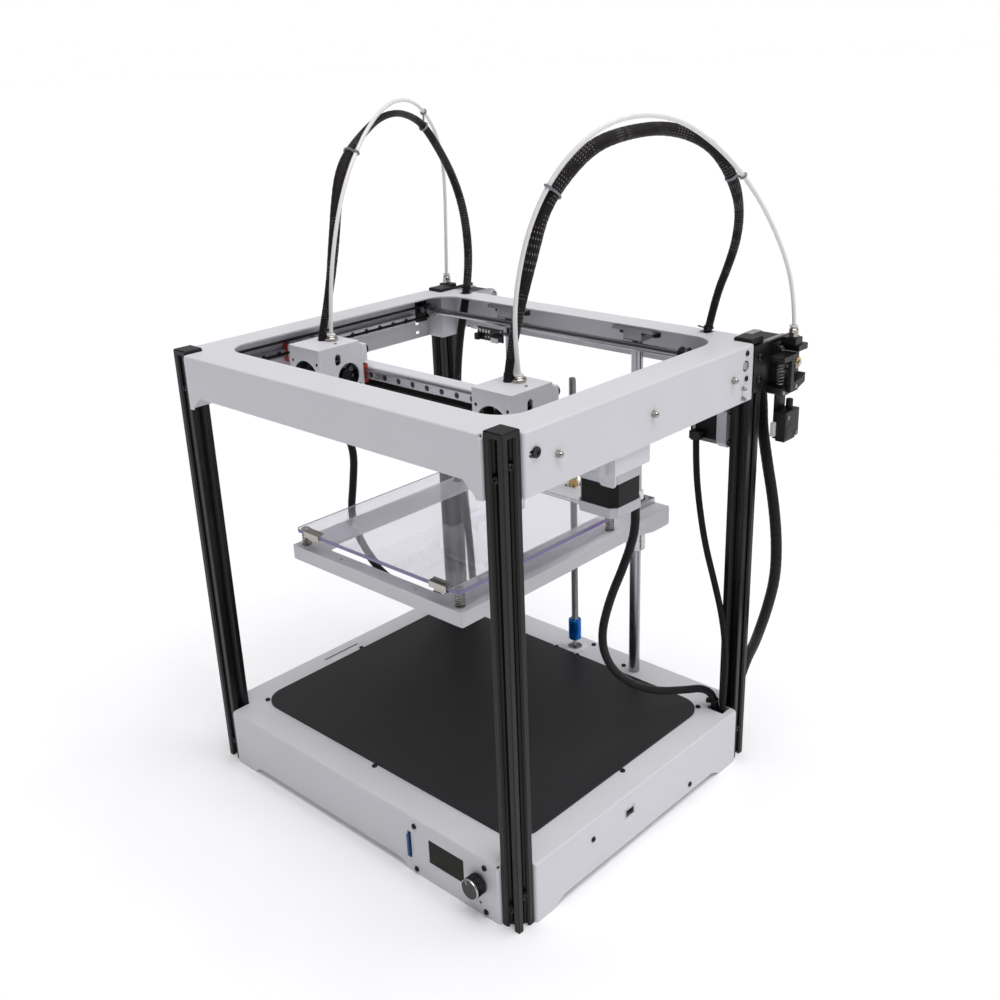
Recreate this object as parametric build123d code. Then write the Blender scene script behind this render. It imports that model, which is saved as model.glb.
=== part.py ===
from build123d import *
import math
import os

# Desktop filament printer with two independent print heads, in millimetres.
# X runs left to right, Y from the front posts to the rear ones, Z up from the floor.
# X is 0 on the machine's middle plane. Y is 0 on the posts' front faces while modelling,
# and save() moves every piece so that the row's origin is the bottom centre of the machine.

os.makedirs("parts", exist_ok=True)

# ---------------------------------------------------------------- driving dimensions
WIDTH = 431.0            # over the corner posts, along X
DEPTH = 363.0            # over the corner posts, along Y
POST = 20.0              # square aluminium extrusion
POST_TOP = 455.0
CAP_TOP = 460.0
SHEET = 1.5              # folded sheet metal
PROUD = 3.0              # sheet metal stands this far outside the posts
FRAME_TOP = 457.0
SKIRT_LOW = 404.0        # bottom of the top frame's side skirts
SKIRT_MID = 417.5        # bottom of its front and rear skirts
BASE_TOP = 63.0
FIT = 0.2                # assembly gap between sheet metal and posts

HALF_W = WIDTH / 2
OUT_X = HALF_W + PROUD               # outer face of the side skirts
IN_X = OUT_X - SHEET
FRONT = -PROUD
REAR = DEPTH + PROUD
POST_IN_X = HALF_W - POST - FIT      # skirts stop here, beside the posts
POST_IN_Y = POST + FIT

KNOB_FACE = -16.5                    # foremost point of the machine
MOTOR = 42.3                         # NEMA 17 frame size
MOTOR_LONG = 40.0
EXTRUDER_Y = 396.0                   # drive gear and extruder motor axis
EXTRUDER_Z = 430.0
REARMOST = EXTRUDER_Y + MOTOR / 2
ORIGIN_Y = (KNOB_FACE + REARMOST) / 2

# X and Y axes
RAIL_W, RAIL_H = 9.0, 6.5            # miniature linear rail
Y_RAIL_Z = 429.5
GANTRY_Y = 149.0                     # middle of the Y carriages
BEAM_Y, BEAM_D = 164.0, 18.0
BEAM_Z0, BEAM_Z1 = 412.0, 425.0
X_RAIL_Z = 419.0
X_RAIL_BASE = BEAM_Y - BEAM_D / 2    # plane that the X rail is screwed to
CARRIAGE_L, CARRIAGE_W, CARRIAGE_H = 40.0, 20.0, 10.0
BELT_W, BELT_T, PITCH_R = 6.0, 1.4, 6.366
PULLEY_LONG = 9.0
X_MOTOR_X, X_MOTOR_Y, X_MOTOR_Z = 192.35, 158.0, 346.6
BELT_Z = {"right": 404.5, "left": 395.5}         # middle of each head's belt
Y_BELT_X = 199.5
SHAFT_Y, SHAFT_Z, SHAFT_R = 329.0, 438.5, 4.0
Y_IDLER_Y = 33.0
Y_MOTOR_X0, Y_MOTOR_Y, Y_MOTOR_Z = 157.0, 358.2, 371.2
Y_MOTOR_LONG = 38.0
DRIVE_BELT_X = 150.5

# heads
HEAD_X = {"left": -129.8, "right": 119.6}
HEAD_W, HEAD_Y0, HEAD_Y1 = 46.8, 90.4, 142.0
HEAD_TOP, HEAD_LOW = 454.5, 396.0
NOZZLE_Y, NOZZLE_TIP = 126.0, 376.0
LOOM_OUT = (-8.2, 121.8)             # where a harness leaves its head: across from the nozzle, and Y
FRONT_FAN_Z, FRONT_FAN_R = 422.0, 19.5
SIDE_FAN_Y, SIDE_FAN_Z, SIDE_FAN_R = 125.5, 421.5, 13.7

# Z axis and bed
ROD_X, ROD_Y, ROD_R = 86.0, 341.0, 6.0
SCREW_Y, SCREW_R = 342.0, 4.0
BED_TOP = 283.5
PLATE_X, PLATE_Y0, PLATE_Y1, PLATE_T = 113.5, 47.0, 275.5, 4.0
TRAY_X, TRAY_Y0, TRAY_Y1, TRAY_TOP = 118.4, 44.5, 357.0, 264.7
LEVEL_POINTS = [(x, y) for x in (-107.0, 107.0) for y in (54.5, 268.5)]

# front panel
SD_X, SD_Z = 81.4, 30.0
LCD_X, LCD_Z, LCD_W, LCD_H = 130.0, 35.0, 45.0, 26.0
KNOB_X, KNOB_Z, KNOB_R = 172.0, 35.0, 10.2
INLET_X = -150.0                     # mains inlet in the rear skirt
LOOM_HOLES = [(-167.3, 356.3), (156.3, 357.4)]       # harness holes in the top sheet
BASE_LOOM_X, BASE_LOOM_Y = -166.0, 345.0             # harness hole in the base
CABLE_NOTCH = (192.0, 211.0)                         # notches beside the rear posts
PANEL_SCREWS = [(x, z) for x in (89.5, 179.0) for z in (5.6, 54.0)]

EXTRUDER_PLATE_X = HALF_W + 3.0
FILAMENT_X, FILAMENT_Y = 232.0, 389.5


# ---------------------------------------------------------------- helpers
def block(x0, x1, y0, y1, z0, z1):
    """Box given by its lowest and highest corners."""
    centre = Pos((x0 + x1) / 2, (y0 + y1) / 2, (z0 + z1) / 2)
    return centre * Box(abs(x1 - x0), abs(y1 - y0), abs(z1 - z0))


def rod_z(x, y, z0, z1, r):
    return Pos(x, y, (z0 + z1) / 2) * Cylinder(r, abs(z1 - z0))


def rod_x(y, z, x0, x1, r):
    return Pos((x0 + x1) / 2, y, z) * Rot(0, 90, 0) * Cylinder(r, abs(x1 - x0))


def rod_y(x, z, y0, y1, r):
    return Pos(x, (y0 + y1) / 2, z) * Rot(90, 0, 0) * Cylinder(r, abs(y1 - y0))


def slab(sketch, z0, z1):
    """Upright prism over a sketch drawn in X and Y."""
    return Pos(0, 0, z0) * extrude(sketch, amount=z1 - z0)


def rounded(x0, x1, y0, y1, z0, z1, r):
    """Block with rounded upright edges."""
    sketch = Pos((x0 + x1) / 2, (y0 + y1) / 2) * RectangleRounded(x1 - x0, y1 - y0, r)
    return slab(sketch, z0, z1)


def across_x(points, x0, x1, radius=0.0):
    """Prism along X over an outline of (y, z) points."""
    face = make_face(Polyline(*points, close=True))
    if radius:
        face = fillet(face.vertices(), radius)
    return Plane.YZ.offset(x0) * extrude(face, amount=x1 - x0)


def along_y(points, y0, y1):
    """Prism along Y over an outline of (x, z) points."""
    plane = Plane((0, y0, 0), x_dir=(1, 0, 0), z_dir=(0, 1, 0))
    flipped = [(x, -z) for x, z in points]
    return plane * extrude(make_face(Polyline(*flipped, close=True)), amount=y1 - y0)


def mirrored(shape):
    return mirror(shape, about=Plane.YZ)


def both(shape):
    """A piece and its mirror image on the machine's other side."""
    return [shape, mirrored(shape)]


def solids_of(*items):
    found = []
    for item in items:
        if isinstance(item, (list, tuple)):
            found += solids_of(*item)
        else:
            found += item.solids()
    return found


def save(name, *items):
    """Writes one node; its solids stay separate."""
    shift = Pos(0, -ORIGIN_Y, 0)
    export_step(Compound(children=[shift * s for s in solids_of(*items)]), f"parts/{name}.step")


# ---------------------------------------------------------------- corner posts
def post_profile():
    profile = RectangleRounded(POST, POST, 1.0)
    slot = [(10.5, 4.7), (10.0, 4.7), (8.4, 3.1), (7.8, 3.1), (7.8, 5.4), (6.6, 5.4), (4.3, 3.1)]
    slot += [(x, -y) for x, y in reversed(slot)]
    for turn in range(4):
        profile -= Rot(0, 0, 90 * turn) * make_face(Polyline(*slot, close=True))
    return profile - Circle(2.1)


def corner_places():
    for x in (-1, 1):
        for y in (POST / 2, DEPTH - POST / 2):
            yield x * (HALF_W - POST / 2), y


def make_posts():
    post = extrude(post_profile(), amount=POST_TOP)
    cap = Pos(0, 0, POST_TOP) * extrude(RectangleRounded(POST, POST, 1.0), amount=CAP_TOP - POST_TOP)
    cap = chamfer(cap.edges().group_by(Axis.Z)[-1], 0.9)
    save("corner_posts", [Pos(x, y) * post for x, y in corner_places()])
    save("post_caps", [Pos(x, y) * cap for x, y in corner_places()])


# ---------------------------------------------------------------- folded sheet metal
def skirt_outline():
    """Plan of the folded sheets: a rectangle with its corners notched round the posts."""
    back_y = DEPTH - POST_IN_Y
    points = [(POST_IN_X, FRONT), (POST_IN_X, POST_IN_Y), (OUT_X, POST_IN_Y), (OUT_X, back_y)]
    points += [(POST_IN_X, back_y), (POST_IN_X, REAR)]
    points += [(-x, y) for x, y in reversed(points)]
    return make_face(Polyline(*points, close=True))


def folded_tub(z0, z1):
    """Open-bottomed tray: a top sheet with skirts folded down all round."""
    outline = skirt_outline()
    outer_corners = [v for v in outline.vertices() if abs(v.Y - DEPTH / 2) > 165 or abs(v.X) > 200]
    outer = slab(fillet(outer_corners, 2.5), z0, z1)
    outer = fillet(outer.edges().group_by(Axis.Z)[-1], 1.8)
    inner = slab(offset(outline, amount=-SHEET, kind=Kind.INTERSECTION), z0 - 1, z1 - SHEET)
    tub = outer - inner
    # round relief at each end of every fold, beside the posts
    for side in (-1, 1):
        for y in (FRONT, REAR):
            tub -= rod_y(side * POST_IN_X, z1 - 1.2, y - 3.5, y + 3.5, 2.4)
        for y in (POST_IN_Y, DEPTH - POST_IN_Y):
            tub -= rod_x(y, z1 - 1.2, side * (OUT_X - 3.5), side * (OUT_X + 1), 2.4)
    return tub


def make_top_frame():
    tub = folded_tub(SKIRT_LOW, FRAME_TOP)
    tub -= rounded(-185, 185, 36, 336, SKIRT_LOW, FRAME_TOP + 1, 28)
    flare = [(-189, SKIRT_LOW - 1), (-187.5, SKIRT_LOW + 3), (-175.5, SKIRT_MID)]
    flare += [(-x, z) for x, z in reversed(flare)]
    for y0 in (FRONT - 1, REAR - SHEET - 1):
        tub -= along_y(flare, y0, y0 + SHEET + 2)
    for side in (-1, 1):
        wall = (side * (IN_X - 1), side * (OUT_X + 1))
        for y in (28.5, 35.5):
            tub -= rod_x(y, SHAFT_Z - 0.5, *wall, 3.1)
        tub -= block(*wall, 28.5, 35.5, SHAFT_Z - 3.6, SHAFT_Z + 2.6)
        tub -= rod_x(SHAFT_Y, SHAFT_Z, *wall, 5.5)
    for z in (421.0, 410.4):
        tub -= block(-OUT_X - 1, -IN_X + 1, 320.5, 326.5, z - 1.8, z + 1.8)
    for x, y in LOOM_HOLES:
        tub -= rod_z(x, y, FRAME_TOP - 3, FRAME_TOP + 1, 6.8)
    save("top_frame", tub)


def make_base():
    tub = folded_tub(0, BASE_TOP)
    tub -= rounded(-165, 165, 55, 300, BASE_TOP - 3, BASE_TOP + 1, 12)
    arch = [(-164, -1), (-160, 4.5), (-152, 8), (67, 8), (73, 4.5), (76, -1)]
    tub -= along_y(arch, FRONT - 1, FRONT + SHEET + 1)
    arch = [(-164, -1), (-160, 4.5), (-152, 8), (152, 8), (160, 4.5), (164, -1)]
    tub -= along_y(arch, REAR - SHEET - 1, REAR + 1)
    arch = [(45, -1), (50, 4.5), (58, 8), (298, 8), (306, 4.5), (313, -1)]
    tub -= across_x(arch, -OUT_X - 1, OUT_X + 1)
    # holes in the top: lead screw, rods, cable notches beside the rear posts, card slot
    tub -= rod_z(0, SCREW_Y, BASE_TOP - 3, BASE_TOP + 1, 8)
    for x in (-ROD_X, ROD_X):
        tub -= rod_z(x, ROD_Y, BASE_TOP - 3, BASE_TOP + 1, ROD_R + 0.1)
        near, far = (math.copysign(edge, x) for edge in CABLE_NOTCH)
        tub -= block(near, far, 326.5, 341, BASE_TOP - 3, BASE_TOP + 1)
    tub -= rod_z(BASE_LOOM_X, BASE_LOOM_Y, BASE_TOP - 3, BASE_TOP + 1, 6)
    tub -= block(-205.3, -202.8, 133, 183, BASE_TOP - 3, BASE_TOP + 1)
    # front panel openings
    front = (FRONT - 1, FRONT + SHEET + 1)
    tub -= block(SD_X - 1.9, SD_X + 2.6, *front, SD_Z - 15, SD_Z + 15)
    tub -= block(LCD_X - LCD_W / 2, LCD_X + LCD_W / 2, *front, LCD_Z - LCD_H / 2, LCD_Z + LCD_H / 2)
    tub -= rod_y(KNOB_X, KNOB_Z, *front, 4.5)
    tub -= rod_y(KNOB_X, 13, *front, 1.6)
    # USB socket in the right skirt, power inlet, fan grille and loom hole in the rear skirt
    tub -= block(IN_X - 1, OUT_X + 1, 147.7, 164.3, 35.7, 47.3)
    rear = (REAR - SHEET - 1, REAR + 1)
    tub -= block(INLET_X - 24.2, INLET_X + 24.2, *rear, 19.8, 48.2)
    tub -= rod_y(186.0, 38.8, *rear, 7.2)
    for column in range(9):
        tub -= block(86 + 8 * column, 90 + 8 * column, *rear, 20, 46)
    save("base_housing", tub)


def make_base_inside():
    floor = slab(offset(skirt_outline(), amount=-SHEET - 0.3, kind=Kind.INTERSECTION), 9.5, 11.0)
    save("bottom_plate", floor)

    deck = rounded(-189, 189, 32, 326, BASE_TOP, BASE_TOP + 2, 26)
    for x in (-15.5, 15.5):
        deck -= rod_z(x, SCREW_Y - 15.5, BASE_TOP - 1, BASE_TOP + 3, 3.4)
    save("deck_plate", deck)

    board = block(110, 214, 105, 205, 34.2, 35.7)
    usb = block(202, OUT_X, 148, 164, 35.7, 47) - block(204, OUT_X + 1, 150, 162, 37.7, 45)
    legs = [rod_z(x, y, 11, 34.2, 3) for x in (115, 209) for y in (110, 200)]
    sockets = [block(114 + 14 * n, 124 + 14 * n, 190, 202, 35.7, 47) for n in range(6)]
    coolers = [block(130 + 16 * n, 139 + 16 * n, 120, 129, 35.7, 45) for n in range(4)]
    supply = rounded(-150, -40, 90, 290, 11.0, 46.0, 2)
    supply -= block(-146, -44, 88, 104, 22, 47)
    panel_board = block(86, 184, 4.2, 5.8, 11.6, 57)
    panel_board -= rod_y(KNOB_X, KNOB_Z, 3, 7, 2)
    screen = block(LCD_X - LCD_W / 2 + 0.3, LCD_X + LCD_W / 2 - 0.3, FRONT + 0.9, 4.2,
                   LCD_Z - LCD_H / 2 + 0.3, LCD_Z + LCD_H / 2 - 0.3)
    encoder = block(KNOB_X - 6, KNOB_X + 6, -1.3, 4.2, KNOB_Z - 6, KNOB_Z + 6)
    encoder -= rod_y(KNOB_X, KNOB_Z, -2, 5, 3.1)
    slot = block(SD_X - 3.1, SD_X + 3.1, 0.5, 30, SD_Z - 15.5, SD_Z + 15.5)
    slot -= block(SD_X - 1.5, SD_X + 1.5, 0, 28, SD_Z - 13, SD_Z + 13)
    save("electronics", board, usb, legs, sockets, coolers, supply, panel_board, screen, encoder, slot)

    inlet = block(INLET_X - 24, INLET_X + 24, REAR - 22, REAR, 20, 48)
    inlet += block(INLET_X - 28, INLET_X + 28, REAR, REAR + 2, 16.5, 51.5)
    inlet -= block(INLET_X - 21, INLET_X + 5, REAR - 14, REAR + 3, 24, 44)
    inlet -= block(INLET_X + 8.5, INLET_X + 21.5, REAR - 4, REAR + 3, 23.5, 44.5)
    pins = [block(INLET_X + x - 1, INLET_X + x + 1, REAR - 14, REAR - 2, 32, 36) for x in (-15, -8, -1)]
    rocker = across_x([(REAR - 4, 24), (REAR + 3.6, 24), (REAR + 1.6, 34), (REAR + 1.0, 44), (REAR - 4, 44)],
                      INLET_X + 9, INLET_X + 21)
    save("power_inlet", inlet, pins, rocker)

    save("encoder_shaft", rod_y(KNOB_X, KNOB_Z, -12.4, 2.5, 3.0))
    knob = rod_y(KNOB_X, KNOB_Z, KNOB_FACE, -4.4, KNOB_R)
    knob = chamfer(knob.edges().group_by(Axis.Y)[0], 0.8)
    knob -= rod_y(KNOB_X, KNOB_Z, -12.8, -4, 3.05)
    for step in range(24):
        angle = math.radians(15 * step)
        reach = KNOB_R + 0.25
        groove = rod_y(KNOB_X + reach * math.cos(angle), KNOB_Z + reach * math.sin(angle), -15, -6, 0.5)
        knob -= groove
    save("control_knob", knob)
    card = block(SD_X - 1.05, SD_X + 1.05, -5.5, 26.5, SD_Z - 12, SD_Z + 12)
    card -= across_x([(26.6, SD_Z + 8), (26.6, SD_Z + 12.1), (22.5, SD_Z + 12.1)], SD_X - 2, SD_X + 2)
    save("sd_card", card)


# ---------------------------------------------------------------- motors, belts and pulleys
def motor_up(x, y, z0, length=MOTOR_LONG):
    """NEMA 17 motor standing on z0 with its shaft up: body, boss and shaft as one solid."""
    body = Pos(x, y, z0) * extrude(RectangleRounded(MOTOR, MOTOR, 4.5), amount=length)
    for z in (z0 + 9.5, z0 + length - 9.5):
        groove = rounded(x - 30, x + 30, y - 30, y + 30, z - 0.25, z + 0.25, 1)
        body -= groove - rounded(x - 20.6, x + 20.6, y - 20.6, y + 20.6, z - 1, z + 1, 5)
    return body + rod_z(x, y, z0 + length, z0 + length + 2, 11) + rod_z(x, y, z0 + length, z0 + length + 22, 2.5)


def belt_loop(length, radius, width, thick):
    """Closed belt round two equal pulleys, middle at the origin, long way along X, width along Z."""
    outer = SlotCenterToCenter(length, 2 * (radius + thick / 2))
    inner = SlotCenterToCenter(length, 2 * (radius - thick / 2))
    return Pos(0, 0, -width / 2) * extrude(outer - inner, amount=width)


def pulley(bore, height):
    """Flanged timing pulley about Z, middle at the origin."""
    hub = Cylinder(PITCH_R - BELT_T / 2 - 0.05, height)
    for z in (-height / 2 + 0.6, height / 2 - 0.6):
        hub += Pos(0, 0, z) * Cylinder(8.0, 1.2)
    return hub - Cylinder(bore, height + 2)


def turned_x(shape, x, y, z):
    """Places a piece made about Z so that its axis lies along X."""
    return Pos(x, y, z) * Rot(0, 90, 0) * shape


def make_frame_motors():
    z_motor = motor_up(0, SCREW_Y, BASE_TOP - SHEET - 2.2 - MOTOR_LONG)
    lying = motor_up(0, 0, 0, Y_MOTOR_LONG)
    y_motor = Pos(Y_MOTOR_X0 + Y_MOTOR_LONG, Y_MOTOR_Y, Y_MOTOR_Z) * Rot(0, -90, 0) * lying
    y_motor += block(Y_MOTOR_X0 + 1, Y_MOTOR_X0 + 13, 329, Y_MOTOR_Y - MOTOR / 2, 356, 364)
    feed = Pos(HALF_W - MOTOR_LONG, EXTRUDER_Y, EXTRUDER_Z) * Rot(0, 90, 0) * motor_up(0, 0, 0)
    save("frame_motors", z_motor, y_motor, both(feed))


def make_y_drive():
    shaft = rod_x(SHAFT_Y, SHAFT_Z, -OUT_X + 0.6, OUT_X - 0.6, SHAFT_R)
    for side in (-1, 1):
        shaft += turned_x(pulley(SHAFT_R - 0.5, PULLEY_LONG), side * Y_BELT_X, SHAFT_Y, SHAFT_Z)
        shaft += rod_x(SHAFT_Y, SHAFT_Z, side * (Y_BELT_X - 4.5), side * (Y_BELT_X - 11), 6.5)
    shaft += turned_x(pulley(SHAFT_R - 0.5, PULLEY_LONG), DRIVE_BELT_X, SHAFT_Y, SHAFT_Z)
    save("y_drive_shaft", shaft)
    save("y_motor_pulley", turned_x(pulley(2.53, PULLEY_LONG), DRIVE_BELT_X, Y_MOTOR_Y, Y_MOTOR_Z))

    belts = []
    middle_y = (SHAFT_Y + Y_IDLER_Y) / 2
    loop = belt_loop(SHAFT_Y - Y_IDLER_Y, PITCH_R, BELT_W, BELT_T)
    for side in (-1, 1):
        belts.append(Pos(side * Y_BELT_X, middle_y, SHAFT_Z) * Rot(0, 90, 0) * Rot(0, 0, 90) * loop)
    rise = math.degrees(math.atan2(SHAFT_Z - Y_MOTOR_Z, SHAFT_Y - Y_MOTOR_Y))
    gap = math.hypot(SHAFT_Z - Y_MOTOR_Z, SHAFT_Y - Y_MOTOR_Y)
    short = belt_loop(gap, PITCH_R, BELT_W, BELT_T)
    place = Pos(DRIVE_BELT_X, (SHAFT_Y + Y_MOTOR_Y) / 2, (SHAFT_Z + Y_MOTOR_Z) / 2)
    belts.append(place * Rot(rise, 0, 0) * Rot(0, 90, 0) * Rot(0, 0, 90) * short)
    save("y_belts", belts)

    idlers = []
    for side in (-1, 1):
        idlers.append(turned_x(pulley(2.1, PULLEY_LONG), side * Y_BELT_X, Y_IDLER_Y, SHAFT_Z))
        axle = rod_x(Y_IDLER_Y, SHAFT_Z, side * (Y_BELT_X - 4.4), side * OUT_X, 2.1)
        axle += rod_x(Y_IDLER_Y, SHAFT_Z, side * OUT_X, side * (OUT_X + 2), 4.6)
        idlers.append(axle)
    save("y_idlers", idlers)


def make_rails():
    length = 290.0
    rail = block(IN_X - RAIL_H, IN_X, 25, 25 + length, Y_RAIL_Z - RAIL_W / 2, Y_RAIL_Z + RAIL_W / 2)
    for step in range(14):
        rail -= rod_x(40 + 20 * step, Y_RAIL_Z, IN_X - RAIL_H - 1, IN_X - 3.2, 3)
    save("y_rails", both(rail))

    rail = block(-195, 195, X_RAIL_BASE - RAIL_H, X_RAIL_BASE, X_RAIL_Z - RAIL_W / 2, X_RAIL_Z + RAIL_W / 2)
    for step in range(19):
        rail -= rod_y(-180 + 20 * step, X_RAIL_Z, X_RAIL_BASE - RAIL_H - 1, X_RAIL_BASE - 3.2, 3)
    save("x_rail", rail)


def carriage_block():
    """Rail carriage about X, rail base at y = 0 and the carriage towards -Y."""
    body = block(-CARRIAGE_L / 2, CARRIAGE_L / 2, -CARRIAGE_H, -1.6, -CARRIAGE_W / 2, CARRIAGE_W / 2)
    return body - block(-CARRIAGE_L, CARRIAGE_L, -RAIL_H - 0.3, 0, -RAIL_W / 2 - 0.3, RAIL_W / 2 + 0.3)


# ---------------------------------------------------------------- brackets on the frame
def make_frame_brackets():
    pieces = []
    for side in (-1, 1):
        x = side * ROD_X
        flange = block(side * (IN_X - 3), side * IN_X, SHAFT_Y - 8, SHAFT_Y + 8, SHAFT_Z - 15.5, SHAFT_Z + 15.5)
        flange -= rod_x(SHAFT_Y, SHAFT_Z, side * (IN_X - 4), side * (IN_X + 1), SHAFT_R + 0.05)
        pieces.append(flange)
        seat = rod_z(x, ROD_Y, 40, BASE_TOP - SHEET, 12) - rod_z(x, ROD_Y, 43, BASE_TOP, ROD_R)
        pieces.append(seat)
    arm = block(Y_MOTOR_X0 - 3, Y_MOTOR_X0, Y_MOTOR_Y - 20, REAR - SHEET, Y_MOTOR_Z - 20, 438)
    arm -= rod_x(Y_MOTOR_Y, Y_MOTOR_Z, Y_MOTOR_X0 - 4, Y_MOTOR_X0 + 1, 11.5)
    arm += block(Y_MOTOR_X0 - 3, Y_MOTOR_X0 + 22, REAR - SHEET - 3, REAR - SHEET, 419, 438)
    pieces.append(arm)
    plate = block(HALF_W, EXTRUDER_PLATE_X, 343.5, 417, 409, 453.5)
    plate -= rod_x(EXTRUDER_Y, EXTRUDER_Z, HALF_W - 1, EXTRUDER_PLATE_X + 1, 11.3)
    pieces.append(both(plate))
    save("frame_brackets", pieces)


def make_rods():
    rods = [rod_z(x, ROD_Y, 43, 452, ROD_R) for x in (-ROD_X, ROD_X)]
    clamps = []
    for x in (-ROD_X, ROD_X):
        clamp = block(x - 25, x + 25, 332, 353, 452, FRAME_TOP - SHEET)
        clamp += block(x - 11, x + 11, 332, 350, 443, 452)
        clamps.append(clamp - rod_z(x, ROD_Y, 442, 452, ROD_R))
    save("z_rods", rods + clamps)


def make_endstops():
    board = block(-116, -78, 319.5, 321.1, 418.5, 433)
    switch = block(-92, -79, 314.2, 319.5, 420, 426.5)
    lever = block(-91.5, -79.5, 313.5, 314.2, 417.5, 425)
    bracket = block(-110, -98, 321.1, 322.6, 418.6, 432)
    bracket += block(-110, -98, 321.1, REAR - SHEET, 418.6, 420.1)
    bracket += block(-110, -98, REAR - SHEET - 1.5, REAR - SHEET, 418.6, 432)
    save("endstops", board, switch + lever, bracket)


# ---------------------------------------------------------------- extruders
def make_extruders():
    x0 = EXTRUDER_PLATE_X
    base = block(x0, x0 + 6, 375, 417, 409, 451) - rod_x(EXTRUDER_Y, EXTRUDER_Z, x0 - 1, x0 + 7, 8)
    lug = across_x([(365.5, 405), (372, 402), (396, 403), (411, 408), (411, 417), (402, 413), (366, 410.5)],
                   x0, x0 + 17)
    top = block(x0, x0 + 22, 386.2, 403, 443, 449)
    top += block(x0 + 4, x0 + 20, 383, 396, 449, 456)
    top -= rod_z(FILAMENT_X, FILAMENT_Y, 440, 457, 1.3)
    fitting = rod_z(FILAMENT_X, FILAMENT_Y, 456, 463, 4.6) + rod_z(FILAMENT_X, FILAMENT_Y, 463, 467, 3.6)
    fitting -= rod_z(FILAMENT_X, FILAMENT_Y, 455, 468, 1.3)
    lug -= rod_z(FILAMENT_X, FILAMENT_Y, 400, 420, 1.3)
    pin = rod_x(384.5, 410, x0 + 17, x0 + 22.6, 2.0)
    gear = rod_x(EXTRUDER_Y, EXTRUDER_Z, x0 + 8, x0 + 17, 5.5)
    gear -= rod_x(EXTRUDER_Y, EXTRUDER_Z, x0 + 7, x0 + 18, 2.5)
    save("extruder_bodies", both(base + lug + top), both(fitting), both(pin), both(gear))

    upright = block(x0 + 17.4, x0 + 21.8, 374.8, 380.2, 405.5, 442)
    upright += block(x0 + 17.4, x0 + 21.8, 374.8, 389, 405.5, 414)
    upright -= rod_x(384.5, 410, x0 + 17, x0 + 22.6, 2.05)
    arm = block(x0 + 7, x0 + 21.8, 361, 385.6, 437, 442.4)
    bearing = rod_x(383.0, EXTRUDER_Z, x0 + 11, x0 + 17.4, 5.2)
    lever = fillet((upright + arm).edges().filter_by(Axis.X).group_by(Axis.Y)[0], 1.2)
    for name, shapes in (("right", [lever, bearing]), ("left", [mirrored(lever), mirrored(bearing)])):
        save(f"idler_lever_{name}", shapes)

    box = block(225, 239, 371.5, 397.5, 355, 386) - rod_z(FILAMENT_X, FILAMENT_Y, 354, 387, 1.3)
    stub = rod_z(FILAMENT_X, FILAMENT_Y, 386, 395, 3.4) - rod_z(FILAMENT_X, FILAMENT_Y, 385, 396, 1.3)
    strip = block(222.5, 225, 376, 394, 362, 402.1)
    save("runout_sensors", both(box), both(stub), both(strip))


# ---------------------------------------------------------------- gantry
def make_gantry():
    beam = across_x([(BEAM_Y - BEAM_D / 2, BEAM_Z0), (BEAM_Y + BEAM_D / 2, BEAM_Z0),
                     (BEAM_Y + BEAM_D / 2, BEAM_Z1), (BEAM_Y - BEAM_D / 2, BEAM_Z1)], -203.3, 203.3, 2.5)
    beam -= across_x([(BEAM_Y - 7, BEAM_Z0 + 2), (BEAM_Y + 7, BEAM_Z0 + 2),
                      (BEAM_Y + 7, BEAM_Z1 - 2), (BEAM_Y - 7, BEAM_Z1 - 2)], -204, 204, 1.5)
    save("gantry_beam", beam)

    carriage = Pos(IN_X, GANTRY_Y, Y_RAIL_Z) * Rot(0, 0, -90) * carriage_block()
    save("y_carriages", both(carriage))

    side = block(203.3, IN_X - CARRIAGE_H, GANTRY_Y - 20, 176, 386.6, 440)
    side = fillet(side.edges().filter_by(Axis.X), 4)
    shelf = rounded(171, IN_X - CARRIAGE_H, 137, 184, 386.6, 389.6, 3)
    lip = block(205, 215.3, 135.3, 184, 387.2, 389.6) + block(213.8, 215.3, 135.3, 184, 386.6, 418)
    tab = block(199, 215.3, 135.3, 136.8, 376, 418)
    lip += fillet(tab.edges().filter_by(Axis.Y).group_by(Axis.Z)[0], 3)
    plate = side + shelf + lip - rod_z(X_MOTOR_X, X_MOTOR_Y, 386, 390, 11.4)
    belt_clamp = block(196.6, 203.3, X_RAIL_BASE, X_RAIL_BASE + 10, BEAM_Z1, SHAFT_Z - PITCH_R - 1.1)
    save("gantry_brackets", both(plate), both(belt_clamp))

    plug = block(193, 207, X_MOTOR_Y + MOTOR / 2, X_MOTOR_Y + MOTOR / 2 + 8.4, X_MOTOR_Z + 2.4, X_MOTOR_Z + 11)
    save("x_motors", both(motor_up(X_MOTOR_X, X_MOTOR_Y, X_MOTOR_Z) + plug))

    idler_x = 165.0
    belts, pulleys = [], []
    for name, side in (("right", 1), ("left", -1)):
        z = BELT_Z[name]
        loop = belt_loop(X_MOTOR_X + idler_x, PITCH_R, BELT_W, BELT_T)
        belts.append(Pos(side * (X_MOTOR_X - idler_x) / 2, X_MOTOR_Y, z) * loop)
        pulleys.append(Pos(side * X_MOTOR_X, X_MOTOR_Y, z) * pulley(2.53, 8.4))
        pulleys.append(Pos(-side * idler_x, X_MOTOR_Y, z) * pulley(2.1, 8.4))
        pulleys.append(rod_z(-side * idler_x, X_MOTOR_Y, z - 5.5, BEAM_Z0, 2.05))
    save("x_belts", belts)
    save("x_pulleys", pulleys)


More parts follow.
